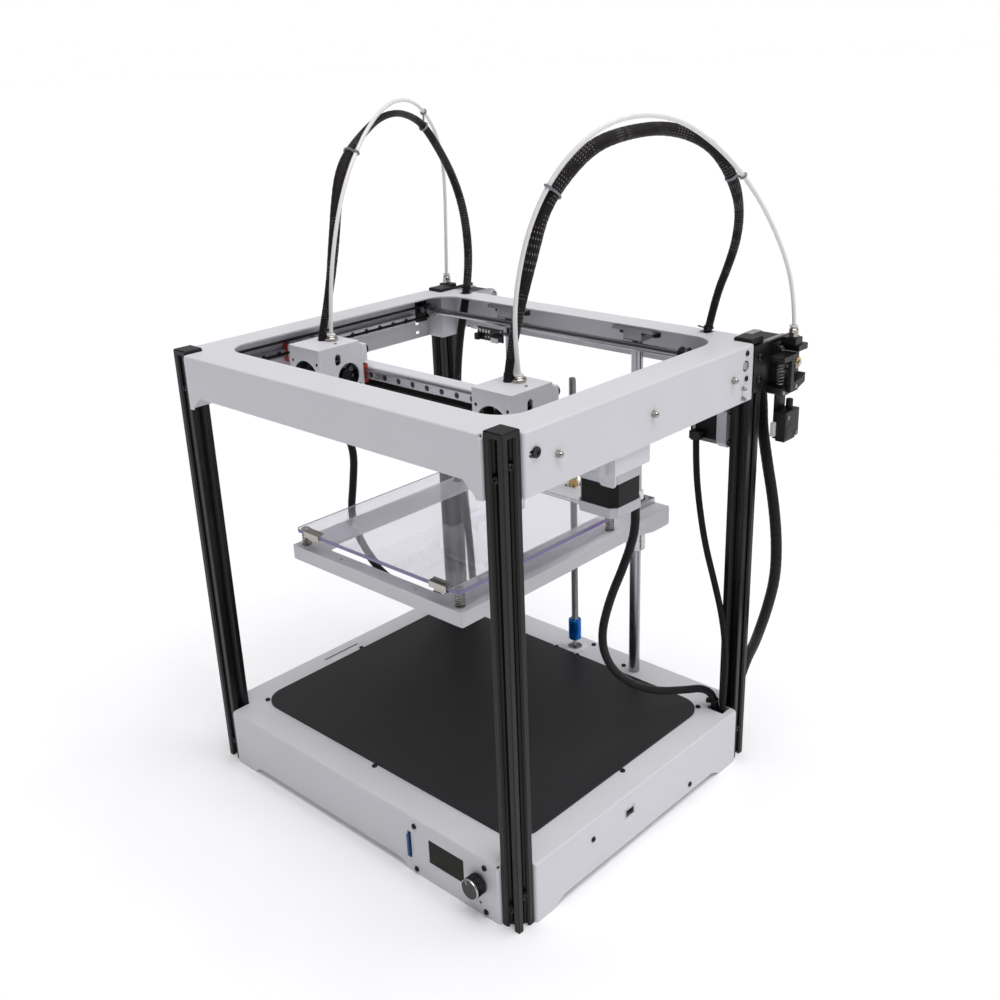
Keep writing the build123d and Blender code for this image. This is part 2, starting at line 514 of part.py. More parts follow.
# ---------------------------------------------------------------- print heads
def make_shell(x):
    outside = block(x - HEAD_W / 2, x + HEAD_W / 2, HEAD_Y0, HEAD_Y1, HEAD_LOW, HEAD_TOP)
    outside = fillet(outside.edges().filter_by(Axis.Z).group_by(Axis.Y)[0], 1.5)
    inside = block(x - HEAD_W / 2 + SHEET, x + HEAD_W / 2 - SHEET, HEAD_Y0 + SHEET, HEAD_Y1 + 1,
                   HEAD_LOW - 1, HEAD_TOP - SHEET)
    shell = outside - inside
    shell -= rod_y(x, FRONT_FAN_Z, HEAD_Y0 - 1, HEAD_Y0 + 3, FRONT_FAN_R)
    for side in (-18.3, 18.3):
        shell -= rod_y(x + side, FRONT_FAN_Z + 18, HEAD_Y0 - 1, HEAD_Y0 + 3, 1.7)
        shell -= rod_y(x + side, FRONT_FAN_Z - 18, HEAD_Y0 - 1, HEAD_Y0 + 3, 1.7)
    wall = (x + HEAD_W / 2 - 3, x + HEAD_W / 2 + 1)
    shell -= rod_x(SIDE_FAN_Y, SIDE_FAN_Z, *wall, SIDE_FAN_R)
    for z in (438.6, 443.0):
        shell -= rod_x(113.2, z, *wall, 3.6)
    shell -= block(*wall, 109.6, 116.8, 438.6, 443.0)
    return shell - rod_z(x, NOZZLE_Y, HEAD_TOP - 3, HEAD_TOP + 1, 5.2)


def make_head(name, x):
    save(f"{name}_head_shell", make_shell(x))

    block_x = Pos(x, X_RAIL_BASE, X_RAIL_Z) * carriage_block()
    back = block(x - HEAD_W / 2, x + HEAD_W / 2, HEAD_Y1, X_RAIL_BASE - CARRIAGE_H, 391, 452)
    back += block(x + 2, x + HEAD_W / 2 - 0.5, HEAD_Y1, 151.5, 432, 450)
    back += rod_y(x + HEAD_W / 2 - 6, 443.5, 151.5, 154.5, 5)
    z = BELT_Z[name]
    back += block(x - 9, x + 9, HEAD_Y1, X_MOTOR_Y - PITCH_R - BELT_T / 2 - 0.3, z - 3, z + 3)
    save(f"{name}_carriage", block_x, back)

    sink = rod_z(x, NOZZLE_Y, 402, 452, 4)
    for step in range(11):
        sink += rod_z(x, NOZZLE_Y, 403 + 3 * step, 404.2 + 3 * step, 9)
    gland = rod_z(x, NOZZLE_Y, 452, 459, 5) + rod_z(x, NOZZLE_Y, HEAD_TOP, 458.5, 6.6)
    gland += rod_z(x + LOOM_OUT[0], LOOM_OUT[1], HEAD_TOP, 459, 5.2)
    neck = rod_z(x, NOZZLE_Y, 396.5, 402, 2)
    heater = block(x - 8, x + 8, NOZZLE_Y - 11, NOZZLE_Y + 9, 385, 396.5)
    tip = rod_z(x, NOZZLE_Y, 380, 385, 3.6) + Pos(x, NOZZLE_Y, NOZZLE_TIP + 2) * Cone(0.6, 3.0, 4)
    hotend = sink + gland + neck + heater + tip
    holder = block(x - 8, x + 8, NOZZLE_Y - 6, HEAD_Y1, 440, 446) - rod_z(x, NOZZLE_Y, 439, 447, 4)
    save(f"{name}_hotend", hotend, holder)

    frame = block(x - 21.4, x + 21.4, HEAD_Y0 + SHEET, HEAD_Y0 + SHEET + 10, FRONT_FAN_Z - 21.4, FRONT_FAN_Z + 21.4)
    frame -= rod_y(x, FRONT_FAN_Z, HEAD_Y0, HEAD_Y0 + SHEET + 11, FRONT_FAN_R)
    frame += rod_y(x, FRONT_FAN_Z, HEAD_Y0 + SHEET + 8.5, HEAD_Y0 + SHEET + 10, 9)
    for turn in (0, 90):
        strut = Pos(x, HEAD_Y0 + SHEET + 9.25, FRONT_FAN_Z) * Rot(0, 45 + turn, 0) * Box(40.6, 1.5, 3)
        frame += strut
    inner_x = x + HEAD_W / 2 - SHEET
    side = block(inner_x - 8, inner_x, SIDE_FAN_Y - 15, SIDE_FAN_Y + 15, SIDE_FAN_Z - 15, SIDE_FAN_Z + 15)
    side -= rod_x(SIDE_FAN_Y, SIDE_FAN_Z, inner_x - 9, inner_x + 1, SIDE_FAN_R)
    side += rod_x(SIDE_FAN_Y, SIDE_FAN_Z, inner_x - 8, inner_x - 6.8, 7)
    side += Pos(inner_x - 7.4, SIDE_FAN_Y, SIDE_FAN_Z) * Box(1.2, 2.4, 28.6)
    save(f"{name}_fan_frames", frame, side)

    front = rod_y(x, FRONT_FAN_Z, HEAD_Y0 + SHEET + 0.8, HEAD_Y0 + SHEET + 8.2, 8)
    for step in range(7):
        blade = Pos(0, 0, 12.9) * Rot(0, 0, 32) * Box(9.5, 1.2, 10.5)
        front += Pos(x, HEAD_Y0 + SHEET + 4.5, FRONT_FAN_Z) * Rot(0, step * 360 / 7, 0) * blade
    save(f"{name}_front_impeller", front)
    spin = rod_x(SIDE_FAN_Y, SIDE_FAN_Z, inner_x - 6.5, inner_x - 0.8, 6)
    for step in range(7):
        blade = Pos(0, 0, 9.2) * Rot(0, 0, 32) * Box(1.0, 7.0, 7.0)
        spin += Pos(inner_x - 3.6, SIDE_FAN_Y, SIDE_FAN_Z) * Rot(step * 360 / 7, 0, 0) * blade
    save(f"{name}_side_impeller", spin)


# ---------------------------------------------------------------- bed and Z axis
def make_bed():
    low, rear_low = TRAY_TOP - 14.4, TRAY_TOP - 19.5
    profile = [(TRAY_Y0, low), (TRAY_Y0, TRAY_TOP), (TRAY_Y1, TRAY_TOP), (TRAY_Y1, rear_low + 3),
               (TRAY_Y1 - 3, rear_low), (328, rear_low), (300, low)]
    tray = across_x(profile, -TRAY_X, TRAY_X)
    tray = fillet(tray.edges().filter_by(Axis.Z), 2)
    inner = [(TRAY_Y0 + SHEET, low - 9), (TRAY_Y0 + SHEET, TRAY_TOP - SHEET),
             (TRAY_Y1 - SHEET, TRAY_TOP - SHEET), (TRAY_Y1 - SHEET, low - 9)]
    tray -= across_x(inner, -TRAY_X + SHEET, TRAY_X - SHEET)
    tray -= rounded(-80, 80, 60, 300, 240, 270, 6)
    for x in (-ROD_X, ROD_X):
        tray -= rod_z(x, ROD_Y, 240, 270, 10.7)
    tray -= rod_z(0, SCREW_Y, 240, 270, 5.4)
    for x, y in LEVEL_POINTS:
        tray -= rod_z(x, y, 262, 266, 2.2)
    for x in (-52.0, 52.0):
        tray -= rod_z(x, 52, 262, 266, 1.6)
    save("bed_frame", tray)

    plate = rounded(-PLATE_X, PLATE_X, PLATE_Y0, PLATE_Y1, BED_TOP - PLATE_T, BED_TOP, 5)
    save("build_plate", plate)

    under = BED_TOP - PLATE_T
    pieces = []
    for x, y in LEVEL_POINTS:
        for step in range(5):
            z = TRAY_TOP + 1.0 + step * 3.2
            pieces.append(Pos(x, y, z) * Torus(4.2, 0.75))
        screw = rod_z(x, y, 255, under, 2.0) + rod_z(x, y, 255.5, TRAY_TOP - SHEET - 0.1, 8.0)
        pieces.append(screw)
    save("leveling_mounts", pieces)

    clips = []
    for x in (-88.0, 88.0):
        y = PLATE_Y0
        leaf = [(y - 1.5, under - 2.0), (y - 0.1, under - 2.0), (y - 0.1, BED_TOP), (y + 5.5, BED_TOP),
                (y + 6.5, BED_TOP + 1.6), (y + 5.3, BED_TOP + 1.8), (y + 4.5, BED_TOP + 0.9), (y - 1.5, BED_TOP + 0.9)]
        clips.append(across_x(leaf, x - 11, x + 11))
    save("bed_clips", clips)

    bearings = []
    for x in (-ROD_X, ROD_X):
        body = rod_z(x, ROD_Y, 213.7, TRAY_TOP + 6, 10.5)
        body += rounded(x - 16, x + 16, ROD_Y - 15, ROD_Y + 15, TRAY_TOP, TRAY_TOP + 6, 3)
        body -= rod_z(x, ROD_Y, 213, TRAY_TOP + 7, ROD_R + 0.05)
        for dx in (-11.5, 11.5):
            for dy in (-11.0, 11.0):
                body -= rod_z(x + dx, ROD_Y + dy, TRAY_TOP + 3, TRAY_TOP + 7, 2.6)
        bearings.append(body)
    save("z_bearings", bearings)

    nut = rod_z(0, SCREW_Y, TRAY_TOP - SHEET - 3.5, TRAY_TOP - SHEET, 11)
    nut += rod_z(0, SCREW_Y, 249, 274, 5.1)
    nut -= rod_z(0, SCREW_Y, 248, 275, SCREW_R + 0.05)
    save("leadscrew_nut", nut)


def make_lead_screw():
    save("lead_screw", rod_z(0, SCREW_Y, 87, 388, SCREW_R))
    coupling = rod_z(0, SCREW_Y, 74, 99, 7.3)
    coupling -= rod_z(0, SCREW_Y, 87, 100, SCREW_R) + rod_z(0, SCREW_Y, 73, 87, 2.53)
    save("shaft_coupling", coupling)


# ---------------------------------------------------------------- fasteners on the frame
def make_fasteners():
    pieces = []
    acorn = Pos(0, 0, 1.3) * extrude(RegularPolygon(3.1, 6), amount=2.4, both=False)
    acorn += Cylinder(2.9, 2.6) + Pos(0, 0, 3.7) * Sphere(2.5)
    acorn = acorn & Pos(0, 0, 5) * Box(10, 10, 10)
    for side in (-1, 1):
        for y in (59, 184, 308):
            pieces.append(Pos(side * OUT_X, y, Y_RAIL_Z) * Rot(0, 90 * side, 0) * acorn)
    for side in (-1, 1):
        for z in (SHAFT_Z - 12, SHAFT_Z + 12):
            pieces.append(rod_x(SHAFT_Y + 1, z, side * OUT_X, side * (OUT_X + 1.4), 2.7))
    for z in (417.9, 408.2):
        pieces.append(rod_x(325, z, OUT_X, OUT_X + 1.8, 2.2))
    for y, z in ((100, 43), (257, 17)):
        pieces.append(both(rod_x(y, z, OUT_X, OUT_X + 1.4, 2.8)))
    for x in (-ROD_X - 20, -ROD_X + 20, ROD_X - 20, ROD_X + 20):
        pieces.append(rod_z(x, 345, FRAME_TOP, FRAME_TOP + 1.8, 4.2))
        pieces.append(rod_z(x, 345, 446.5, 452, 4.5))
    deck_edge = [(0, 28.8), (-192.2, 179), (192.2, 179)]
    deck_corners = [(x, y) for x in (-184, 184) for y in (36.5, 321.5)]
    for x, y in deck_edge + deck_corners:
        pieces.append(rod_z(x, y, BASE_TOP, BASE_TOP + 2.6, 2.8))
    for dx in (-15.5, 15.5):
        for dy in (-15.5, 15.5):
            pieces.append(rod_z(dx, SCREW_Y + dy, BASE_TOP, BASE_TOP + 1.8, 2.8))
    for x in (-ROD_X - 14.5, ROD_X - 14.5):
        pieces.append(rod_z(x, ROD_Y, BASE_TOP, BASE_TOP + 1.8, 2.8))
    for x, z in PANEL_SCREWS:
        pieces.append(rod_y(x, z, FRONT - 1.6, FRONT, 2.9))
    # screws that hold the sheets to the posts sit in the post slots
    for sx in (-1, 1):
        for face_y, inward in ((0, 1), (DEPTH, -1)):
            for z in (20, 422):
                y0 = face_y + inward * 0.4
                pieces.append(rod_y(sx * (HALF_W - POST / 2), z, y0, y0 + inward * 2.4, 2.9))
        for y in (POST / 2, DEPTH - POST / 2):
            for z in (33, 432):
                x0 = sx * (HALF_W - 0.4)
                pieces.append(rod_x(y, z, x0, x0 - sx * 2.4, 2.9))
    for side in (-1, 1):
        for z in (421, 441.5):
            x0 = side * EXTRUDER_PLATE_X
            pieces.append(rod_x(353, z, x0, x0 + side * 2.2, 4))
    save("frame_fasteners", pieces)


# ---------------------------------------------------------------- cords
# Each route is a list of points (x, y, z). The tube is straight runs joined by tangent arcs.
ROUTES = {
    "bowden_right": (4.0, [
        (119.6, 126.0, 459.4), (118.0, 122.5, 500.0), (120.0, 127.5, 545.0), (126.0, 141.0, 593.0),
        (137.0, 168.0, 635.0), (155.0, 209.0, 664.0), (176.0, 261.0, 664.0), (196.0, 305.0, 636.0),
        (212.0, 344.0, 593.0), (224.0, 373.0, 543.0), (231.0, 387.0, 500.0), (232.0, 389.5, 467.5)]),
    "harness_right": (10.5, [
        (111.4, 121.8, 461.0), (110.5, 131.0, 495.0), (121.5, 141.0, 553.0), (124.5, 153.0, 593.0),
        (130.0, 176.0, 620.0), (138.0, 204.0, 642.0), (148.0, 233.0, 650.0), (161.0, 268.0, 652.5),
        (173.0, 297.0, 645.5), (184.0, 319.5, 631.0), (193.0, 334.5, 606.0), (193.5, 348.0, 578.0),
        (188.0, 354.0, 549.0), (177.0, 358.0, 521.5), (164.0, 359.0, 491.0), (156.0, 357.0, 449.0)]),
    "bowden_left": (4.0, [
        (-129.8, 126.0, 459.5), (-128.0, 128.6, 505.5), (-133.0, 142.7, 549.5), (-140.0, 160.0, 583.5),
        (-147.0, 179.0, 609.5), (-154.0, 197.0, 627.0), (-162.0, 219.5, 646.0), (-173.0, 250.0, 663.0),
        (-184.0, 283.0, 671.0), (-196.0, 317.0, 667.5), (-206.0, 343.5, 654.0), (-217.0, 371.0, 628.5),
        (-226.0, 388.0, 591.5), (-232.0, 393.5, 540.5), (-232.0, 389.5, 467.5)]),
    "harness_left": (9.0, [
        (-138.0, 121.8, 461.0), (-134.5, 133.0, 502.0), (-141.0, 149.0, 548.0), (-148.5, 162.0, 582.5),
        (-154.0, 173.5, 606.0), (-159.5, 190.5, 626.5), (-169.5, 221.0, 642.5), (-177.5, 250.5, 655.0),
        (-186.0, 283.5, 658.5), (-194.0, 313.5, 651.5), (-199.0, 335.5, 640.0), (-198.0, 357.0, 611.0),
        (-193.0, 369.0, 584.0), (-186.0, 374.5, 554.5), (-178.0, 372.5, 524.0), (-170.0, 365.5, 492.0),
        (-167.0, 355.5, 453.0), (-164.5, 338.0, 403.0), (-163.5, 330.0, 350.0), (-164.5, 331.0, 292.0),
        (-167.0, 336.0, 234.0), (-168.0, 341.0, 176.0), (-167.0, 344.0, 118.0), (-166.0, 345.0, 55.0)]),
    "x_motor_cable_right": (8.0, [
        (200.0, 183.4, 348.1), (200.0, 188.0, 322.0), (193.0, 180.0, 286.0), (181.0, 171.0, 246.0),
        (170.0, 173.0, 203.0), (165.0, 193.0, 163.0), (164.0, 227.0, 128.0), (169.0, 265.0, 103.0),
        (181.0, 302.0, 92.0), (191.0, 320.0, 90.0), (198.0, 332.0, 76.0), (199.0, 334.5, 50.0)]),
    "x_motor_cable_left": (8.5, [
        (-200.0, 183.4, 347.0), (-199.5, 187.5, 331.0), (-188.0, 190.0, 308.0), (-185.0, 182.0, 272.0),
        (-185.0, 175.0, 238.0), (-180.0, 180.0, 203.0), (-171.0, 198.0, 163.0), (-167.0, 230.0, 130.0),
        (-171.0, 264.0, 104.0), (-183.0, 299.0, 92.0), (-192.0, 318.0, 90.0), (-199.0, 331.0, 75.0),
        (-200.5, 334.5, 48.0)]),
    "y_motor_cable": (6.5, [
        (164.0, 333.0, 355.7), (166.0, 331.0, 328.0), (172.0, 329.5, 290.0), (181.0, 329.0, 248.0),
        (193.5, 330.0, 208.0), (204.0, 331.5, 168.0), (209.5, 331.0, 127.0), (208.0, 332.0, 88.0),
        (206.5, 333.0, 50.0)]),
    "rear_harness": (11.0, [
        (200.0, 388.0, 407.8), (202.0, 390.0, 388.0), (206.0, 386.0, 362.0), (218.0, 378.0, 330.0),
        (230.0, 373.5, 292.0), (236.0, 373.5, 252.0), (236.5, 374.5, 212.0), (229.0, 375.5, 174.0),
        (218.0, 381.0, 141.0), (206.0, 392.0, 115.0), (194.0, 401.0, 92.0), (188.0, 402.0, 72.5),
        (186.5, 394.3, 54.5), (186.0, 378.6, 42.2), (186.0, 359.0, 38.0)]),
}


def corner_radii(points):
    """Arc radius at each inner point: 0.45 of the shorter run over the tangent of half the turn."""
    radii = []
    for before, here, after in zip(points, points[1:], points[2:]):
        run_in = Vector(*here) - Vector(*before)
        run_out = Vector(*after) - Vector(*here)
        half_turn = math.radians(run_in.get_angle(run_out)) / 2
        radii.append(0.45 * min(run_in.length, run_out.length) / math.tan(half_turn))
    return radii


def make_cord(name, diameter, points):
    radii = corner_radii(points)
    path = FilletPolyline(*points, radius=radii)
    start = Plane(origin=points[0], z_dir=Vector(*points[1]) - Vector(*points[0]))
    tube = sweep(start * Circle(diameter / 2), path=path)
    expected = math.pi * diameter ** 2 / 4 * path.length
    print(name, "length", round(path.length), "radii", [round(r) for r in radii],
          "volume ratio", round(tube.volume / expected, 4))
    save(name, tube)


make_posts()
make_top_frame()
make_base()
make_base_inside()
make_frame_motors()
make_y_drive()
make_rails()
make_frame_brackets()
make_rods()
make_endstops()
make_extruders()
make_gantry()
for head, head_x in HEAD_X.items():
    make_head(head, head_x)
make_bed()
make_lead_screw()
make_fasteners()
for cord, (cord_diameter, cord_points) in ROUTES.items():
    make_cord(cord, cord_diameter, cord_points)
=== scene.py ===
import math

import bmesh
import bpy
from mathutils import Matrix, Vector


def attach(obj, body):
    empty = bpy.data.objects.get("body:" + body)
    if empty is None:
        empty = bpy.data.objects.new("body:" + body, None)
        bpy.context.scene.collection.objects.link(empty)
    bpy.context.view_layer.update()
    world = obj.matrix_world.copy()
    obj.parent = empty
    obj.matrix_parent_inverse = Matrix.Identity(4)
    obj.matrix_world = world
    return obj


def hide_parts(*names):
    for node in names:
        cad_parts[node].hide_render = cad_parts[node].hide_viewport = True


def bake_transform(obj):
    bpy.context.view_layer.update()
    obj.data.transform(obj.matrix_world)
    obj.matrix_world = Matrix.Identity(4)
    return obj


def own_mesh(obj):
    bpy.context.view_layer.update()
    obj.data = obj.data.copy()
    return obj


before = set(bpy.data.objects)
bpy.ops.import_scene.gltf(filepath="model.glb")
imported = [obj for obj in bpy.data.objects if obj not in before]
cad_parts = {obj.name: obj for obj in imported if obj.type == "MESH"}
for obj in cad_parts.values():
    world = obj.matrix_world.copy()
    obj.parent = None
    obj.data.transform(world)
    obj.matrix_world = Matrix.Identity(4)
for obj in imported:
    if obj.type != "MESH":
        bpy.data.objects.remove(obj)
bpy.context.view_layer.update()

# Lengths are millimetres: X right from the middle, Y back from the front of the posts, Z up.
# to_row() turns them into the row's metres.
ORIGIN_Y = 200.325
ROW = Matrix.Scale(0.001, 4) @ Matrix.Translation((0, -ORIGIN_Y, 0))
HEADS = {"left": -129.8, "right": 119.6}
SIDES = {"left": -1, "right": 1}
WALL_X = 218.5          # outer face of the frame's sides
BASE_TOP = 63.0
SHAFT_Y, SHAFT_Z = 329, 438.5
Y_BELT_X, Y_DRIVE_X, Y_IDLER_Y = 199.5, 150.5, 33
Y_MOTOR_Y, Y_MOTOR_Z = 358.2, 371.2
X_MOTOR_X, X_MOTOR_Y, X_IDLER_X = 192.35, 158, 165
X_BELTS = ((1, 404.5), (-1, 395.5))
BELT_PITCH_RADIUS = 6.366
RAIL_X, Y_RAIL_Z, X_RAIL_Y, X_RAIL_Z = 217.0, 429.5, 155.0, 419.0
SCREW_Y = 342
ROD_X, ROD_Y = 86.0, 341
NOZZLE_Y = 126.0
FEED_X, FEED_Y = 232, 389.5


def to_row(point):
    return ROW @ Vector(point)


def at(x, y, z):
    """Matrix that moves by x, y and z."""
    return Matrix.Translation((x, y, z))


def turned(degrees, axis):
    """Matrix that turns about one axis."""
    return Matrix.Rotation(math.radians(degrees), 4, axis)


# ------------------------------------------------------------------ camera
def make_camera():
    azimuth, elevation, roll = (math.radians(a) for a in (43.427, 21.871, -2.103))
    back = Vector((math.sin(azimuth) * math.cos(elevation), -math.cos(azimuth) * math.cos(elevation),
                   math.sin(elevation)))
    right = (-back).cross(Vector((0, 0, 1))).normalized()
    up = right.cross(-back)
    tilted = math.cos(roll) * right + math.sin(roll) * up
    up = -math.sin(roll) * right + math.cos(roll) * up
    data = bpy.data.cameras.new("camera")
    data.lens, data.sensor_width = 41.72, 36.0
    data.clip_start, data.clip_end = 0.05, 30.0
    camera = bpy.data.objects.new("camera", data)
    turn = Matrix((tilted, up, back)).transposed().to_4x4()
    camera.matrix_world = at(0.76213, -0.782365, 0.73013) @ turn
    bpy.context.scene.collection.objects.link(camera)
    bpy.context.scene.camera = camera


make_camera()


# ------------------------------------------------------------------ materials
class Nodes:
    """Small helper round a material's node tree."""

    def __init__(self, name):
        self.material = bpy.data.materials.new(name)
        self.material.use_nodes = True
        self.tree = self.material.node_tree
        self.shader = self.tree.nodes["Principled BSDF"]

    def add(self, kind, **settings):
        node = self.tree.nodes.new(kind)
        for key, value in settings.items():
            setattr(node, key, value)
        return node

    def link(self, out, into):
        self.tree.links.new(out, into)

    def math(self, operation, a, b=0.0):
        node = self.add("ShaderNodeMath", operation=operation)
        for socket, value in zip(node.inputs, (a, b)):
            if isinstance(value, (int, float)):
                socket.default_value = value
            else:
                self.link(value, socket)
        return node.outputs[0]

    def noise(self, scale, stretch=(1, 1, 1), detail=3.0, source="Object"):
        where = self.add("ShaderNodeTexCoord")
        mapping = self.add("ShaderNodeMapping")
        mapping.inputs["Scale"].default_value = stretch
        texture = self.add("ShaderNodeTexNoise")
        texture.inputs["Scale"].default_value = scale
        texture.inputs["Detail"].default_value = detail
        self.link(where.outputs[source], mapping.inputs["Vector"])
        self.link(mapping.outputs["Vector"], texture.inputs["Vector"])
        return texture.outputs["Fac"]

    def spread(self, value, low, high):
        node = self.add("ShaderNodeMapRange")
        node.inputs["From Min"].default_value = 0.3
        node.inputs["From Max"].default_value = 0.7
        node.inputs["To Min"].default_value = low
        node.inputs["To Max"].default_value = high
        self.link(value, node.inputs["Value"])
        return node.outputs["Result"]

    def mix(self, factor, a, b):
        node = self.add("ShaderNodeMix", data_type="RGBA")
        node.inputs["A"].default_value = (*a, 1)
        node.inputs["B"].default_value = (*b, 1)
        self.link(factor, node.inputs["Factor"])
        return node.outputs["Result"]

    def bump(self, height, strength, distance=0.0002):
        node = self.add("ShaderNodeBump")
        node.inputs["Strength"].default_value = strength
        node.inputs["Distance"].default_value = distance
        self.link(height, node.inputs["Height"])
        self.link(node.outputs["Normal"], self.shader.inputs["Normal"])


def finish_of(name, colour, roughness, metallic=0.0, grain=900.0, relief=0.1, vary=0.06,
              stretch=(1, 1, 1), gloss_spread=0.06, specular=0.5):
    """A surface with fine grain, slight colour variation and uneven gloss."""
    nodes = Nodes(name)
    shader = nodes.shader
    shader.inputs["Metallic"].default_value = metallic
    shader.inputs["Specular IOR Level"].default_value = specular
    broad = nodes.noise(14.0, stretch)
    darker = [c * (1 - vary) for c in colour]
    lighter = [min(1.0, c * (1 + vary)) for c in colour]
    nodes.link(nodes.mix(nodes.spread(broad, 0, 1), darker, lighter), shader.inputs["Base Color"])
    fine = nodes.noise(grain, stretch, 2.0)
    gloss = nodes.spread(fine, roughness - gloss_spread, roughness + gloss_spread)
    nodes.link(gloss, shader.inputs["Roughness"])
    nodes.bump(fine, relief)
    return nodes.material


def braid_material(name, strand, gap, glint):
    """Open plastic braid: crossing strands over darker wires, with painted glints: a light colour on some crests of
    the weave stands in for the strands' sheen.
    """
    nodes = Nodes(name)
    uv = nodes.add("ShaderNodeUVMap", uv_map="braid")
    split = nodes.add("ShaderNodeSeparateXYZ")
    nodes.link(uv.outputs["UV"], split.inputs["Vector"])
    u, v = split.outputs["X"], split.outputs["Y"]
    one = nodes.math("SINE", nodes.math("MULTIPLY", nodes.math("ADD", u, v), 2 * math.pi))
    two = nodes.math("SINE", nodes.math("MULTIPLY", nodes.math("SUBTRACT", u, v), 2 * math.pi))
    weave = nodes.math("MULTIPLY", one, two)
    over = nodes.math("GREATER_THAN", nodes.math("ABSOLUTE", weave), 0.18)
    base = nodes.mix(over, gap, strand)
    # painted glints: on the weave's crests, in noise patches, the glint colour paints the sheen of the strands
    patches = nodes.math("GREATER_THAN", nodes.noise(45.0), 0.50)
    peaks = nodes.math("MULTIPLY", nodes.math("GREATER_THAN", weave, 0.88), patches)
    layered = nodes.add("ShaderNodeMix", data_type="RGBA")
    nodes.link(base, layered.inputs["A"])
    layered.inputs["B"].default_value = (*glint, 1)
    nodes.link(peaks, layered.inputs["Factor"])
    nodes.link(layered.outputs["Result"], nodes.shader.inputs["Base Color"])
    nodes.shader.inputs["Specular IOR Level"].default_value = 0.25
    nodes.link(nodes.spread(nodes.noise(300.0), 0.38, 0.6), nodes.shader.inputs["Roughness"])
    nodes.bump(nodes.math("ABSOLUTE", weave), 0.7, 0.0006)
    return nodes.material


def clear_material(name, tint, index, roughness, through, depth_tint=None):
    nodes = Nodes(name)
    shader = nodes.shader
    shader.inputs["Transmission Weight"].default_value = through
    shader.inputs["IOR"].default_value = index
    cloud = nodes.spread(nodes.noise(9.0), 0, 1)
    nodes.link(nodes.mix(cloud, tint, depth_tint or [c * 0.985 for c in tint]), shader.inputs["Base Color"])
    nodes.link(nodes.spread(nodes.noise(60.0), roughness, roughness + 0.02), shader.inputs["Roughness"])
    return nodes.material


WHITE = finish_of("powder_white", (0.70, 0.69, 0.73), 0.42, grain=1400.0, relief=0.10, vary=0.015)
WHITE_PLATE = finish_of("powder_white_plate", (0.68, 0.67, 0.70), 0.45, grain=1400.0, relief=0.10, vary=0.02)
ANODISED = finish_of("black_anodised", (0.005, 0.005, 0.0055), 0.34, 0.0, 500.0, 0.06, 0.25, (1, 1, 0.02),
                     specular=0.28)
BLACK_SHEET = finish_of("black_powder", (0.012, 0.012, 0.014), 0.46, 0.0, 1600.0, 0.12, 0.10, specular=0.4)
BLACK_PLASTIC = finish_of("black_plastic", (0.007, 0.007, 0.008), 0.40, 0.0, 1100.0, 0.12, 0.15, specular=0.3)
GLOSS_PLASTIC = finish_of("gloss_plastic", (0.006, 0.006, 0.006), 0.22, 0.0, 700.0, 0.05, 0.15, specular=0.45)
BLACK_METAL = finish_of("black_machined", (0.008, 0.008, 0.009), 0.36, 0.0, 800.0, 0.10, 0.2, specular=0.35)
LAMINATED = finish_of("motor_stack", (0.004, 0.004, 0.004), 0.34, 0.0, 900.0, 0.08, 0.2, (1, 1, 3),
                      specular=0.15)
CAST = finish_of("motor_end_cap", (0.46, 0.46, 0.49), 0.42, 0.75, 700.0, 0.12, 0.06)
STEEL = finish_of("bright_steel", (0.52, 0.52, 0.54), 0.24, 1.0, 420.0, 0.05, 0.06, (0.06, 1, 1))
CHROME = finish_of("ground_rod", (0.36, 0.36, 0.38), 0.24, 1.0, 90.0, 0.0, 0.03, (1, 1, 1), 0.01)
RAIL = finish_of("ground_rail", (0.42, 0.42, 0.45), 0.30, 0.95, 500.0, 0.05, 0.06, (0.05, 0.05, 1))
NICKEL = finish_of("nickel", (0.40, 0.38, 0.35), 0.17, 1.0, 300.0, 0.05, 0.10)
BRASS = finish_of("brass", (0.62, 0.43, 0.17), 0.24, 1.0, 300.0, 0.06, 0.10)
THREAD = finish_of("thread_steel", (0.34, 0.34, 0.34), 0.34, 1.0, 500.0, 0.08, 0.12)
BLUE_METAL = finish_of("blue_anodised", (0.0, 0.19, 0.70), 0.26, 0.6, 420.0, 0.06, 0.10, (1, 1, 0.1))
BELT = finish_of("belt_rubber", (0.006, 0.006, 0.006), 0.62, 0.0, 900.0, 0.2, 0.15, specular=0.3)
RED_SEAL = finish_of("red_seal", (0.42, 0.035, 0.02), 0.45, 0.0, 900.0, 0.1, 0.1)
GREY_PLASTIC = finish_of("grey_clip", (0.22, 0.23, 0.26), 0.42, 0.0, 900.0, 0.1, 0.08)
WHITE_PLASTIC = finish_of("white_plastic", (0.78, 0.78, 0.76), 0.4, 0.0, 900.0, 0.08, 0.04)
BLUE_PLASTIC = finish_of("blue_card", (0.01, 0.07, 0.20), 0.38, 0.0, 900.0, 0.1, 0.1)
BOARD = finish_of("black_board", (0.012, 0.013, 0.016), 0.35, 0.0, 260.0, 0.15, 0.4)
GREEN_BOARD = finish_of("green_board", (0.012, 0.07, 0.035), 0.35, 0.0, 260.0, 0.15, 0.3)
SCREEN = finish_of("display_glass", (0.026, 0.025, 0.022), 0.35, 0.0, 120.0, 0.02, 0.15, specular=0.06)
RED_WIRE = finish_of("red_wire", (0.40, 0.03, 0.03), 0.45, 0.0, 500.0, 0.08, 0.1)
GALVANISED = finish_of("supply_steel", (0.50, 0.51, 0.52), 0.38, 0.9, 160.0, 0.06, 0.10)
# the last colour of each braid is its painted glint on the weave's crests
BRAID = braid_material("braided_sleeve", (0.005, 0.005, 0.005), (0.018, 0.006, 0.006), (0.50, 0.50, 0.51))
DENSE_BRAID = braid_material("dense_sleeve", (0.006, 0.006, 0.006), (0.002, 0.002, 0.002),
                             (0.05, 0.05, 0.055))
GLASS = clear_material("plate_glass", (0.93, 0.92, 0.97), 1.62, 0.01, 0.90)
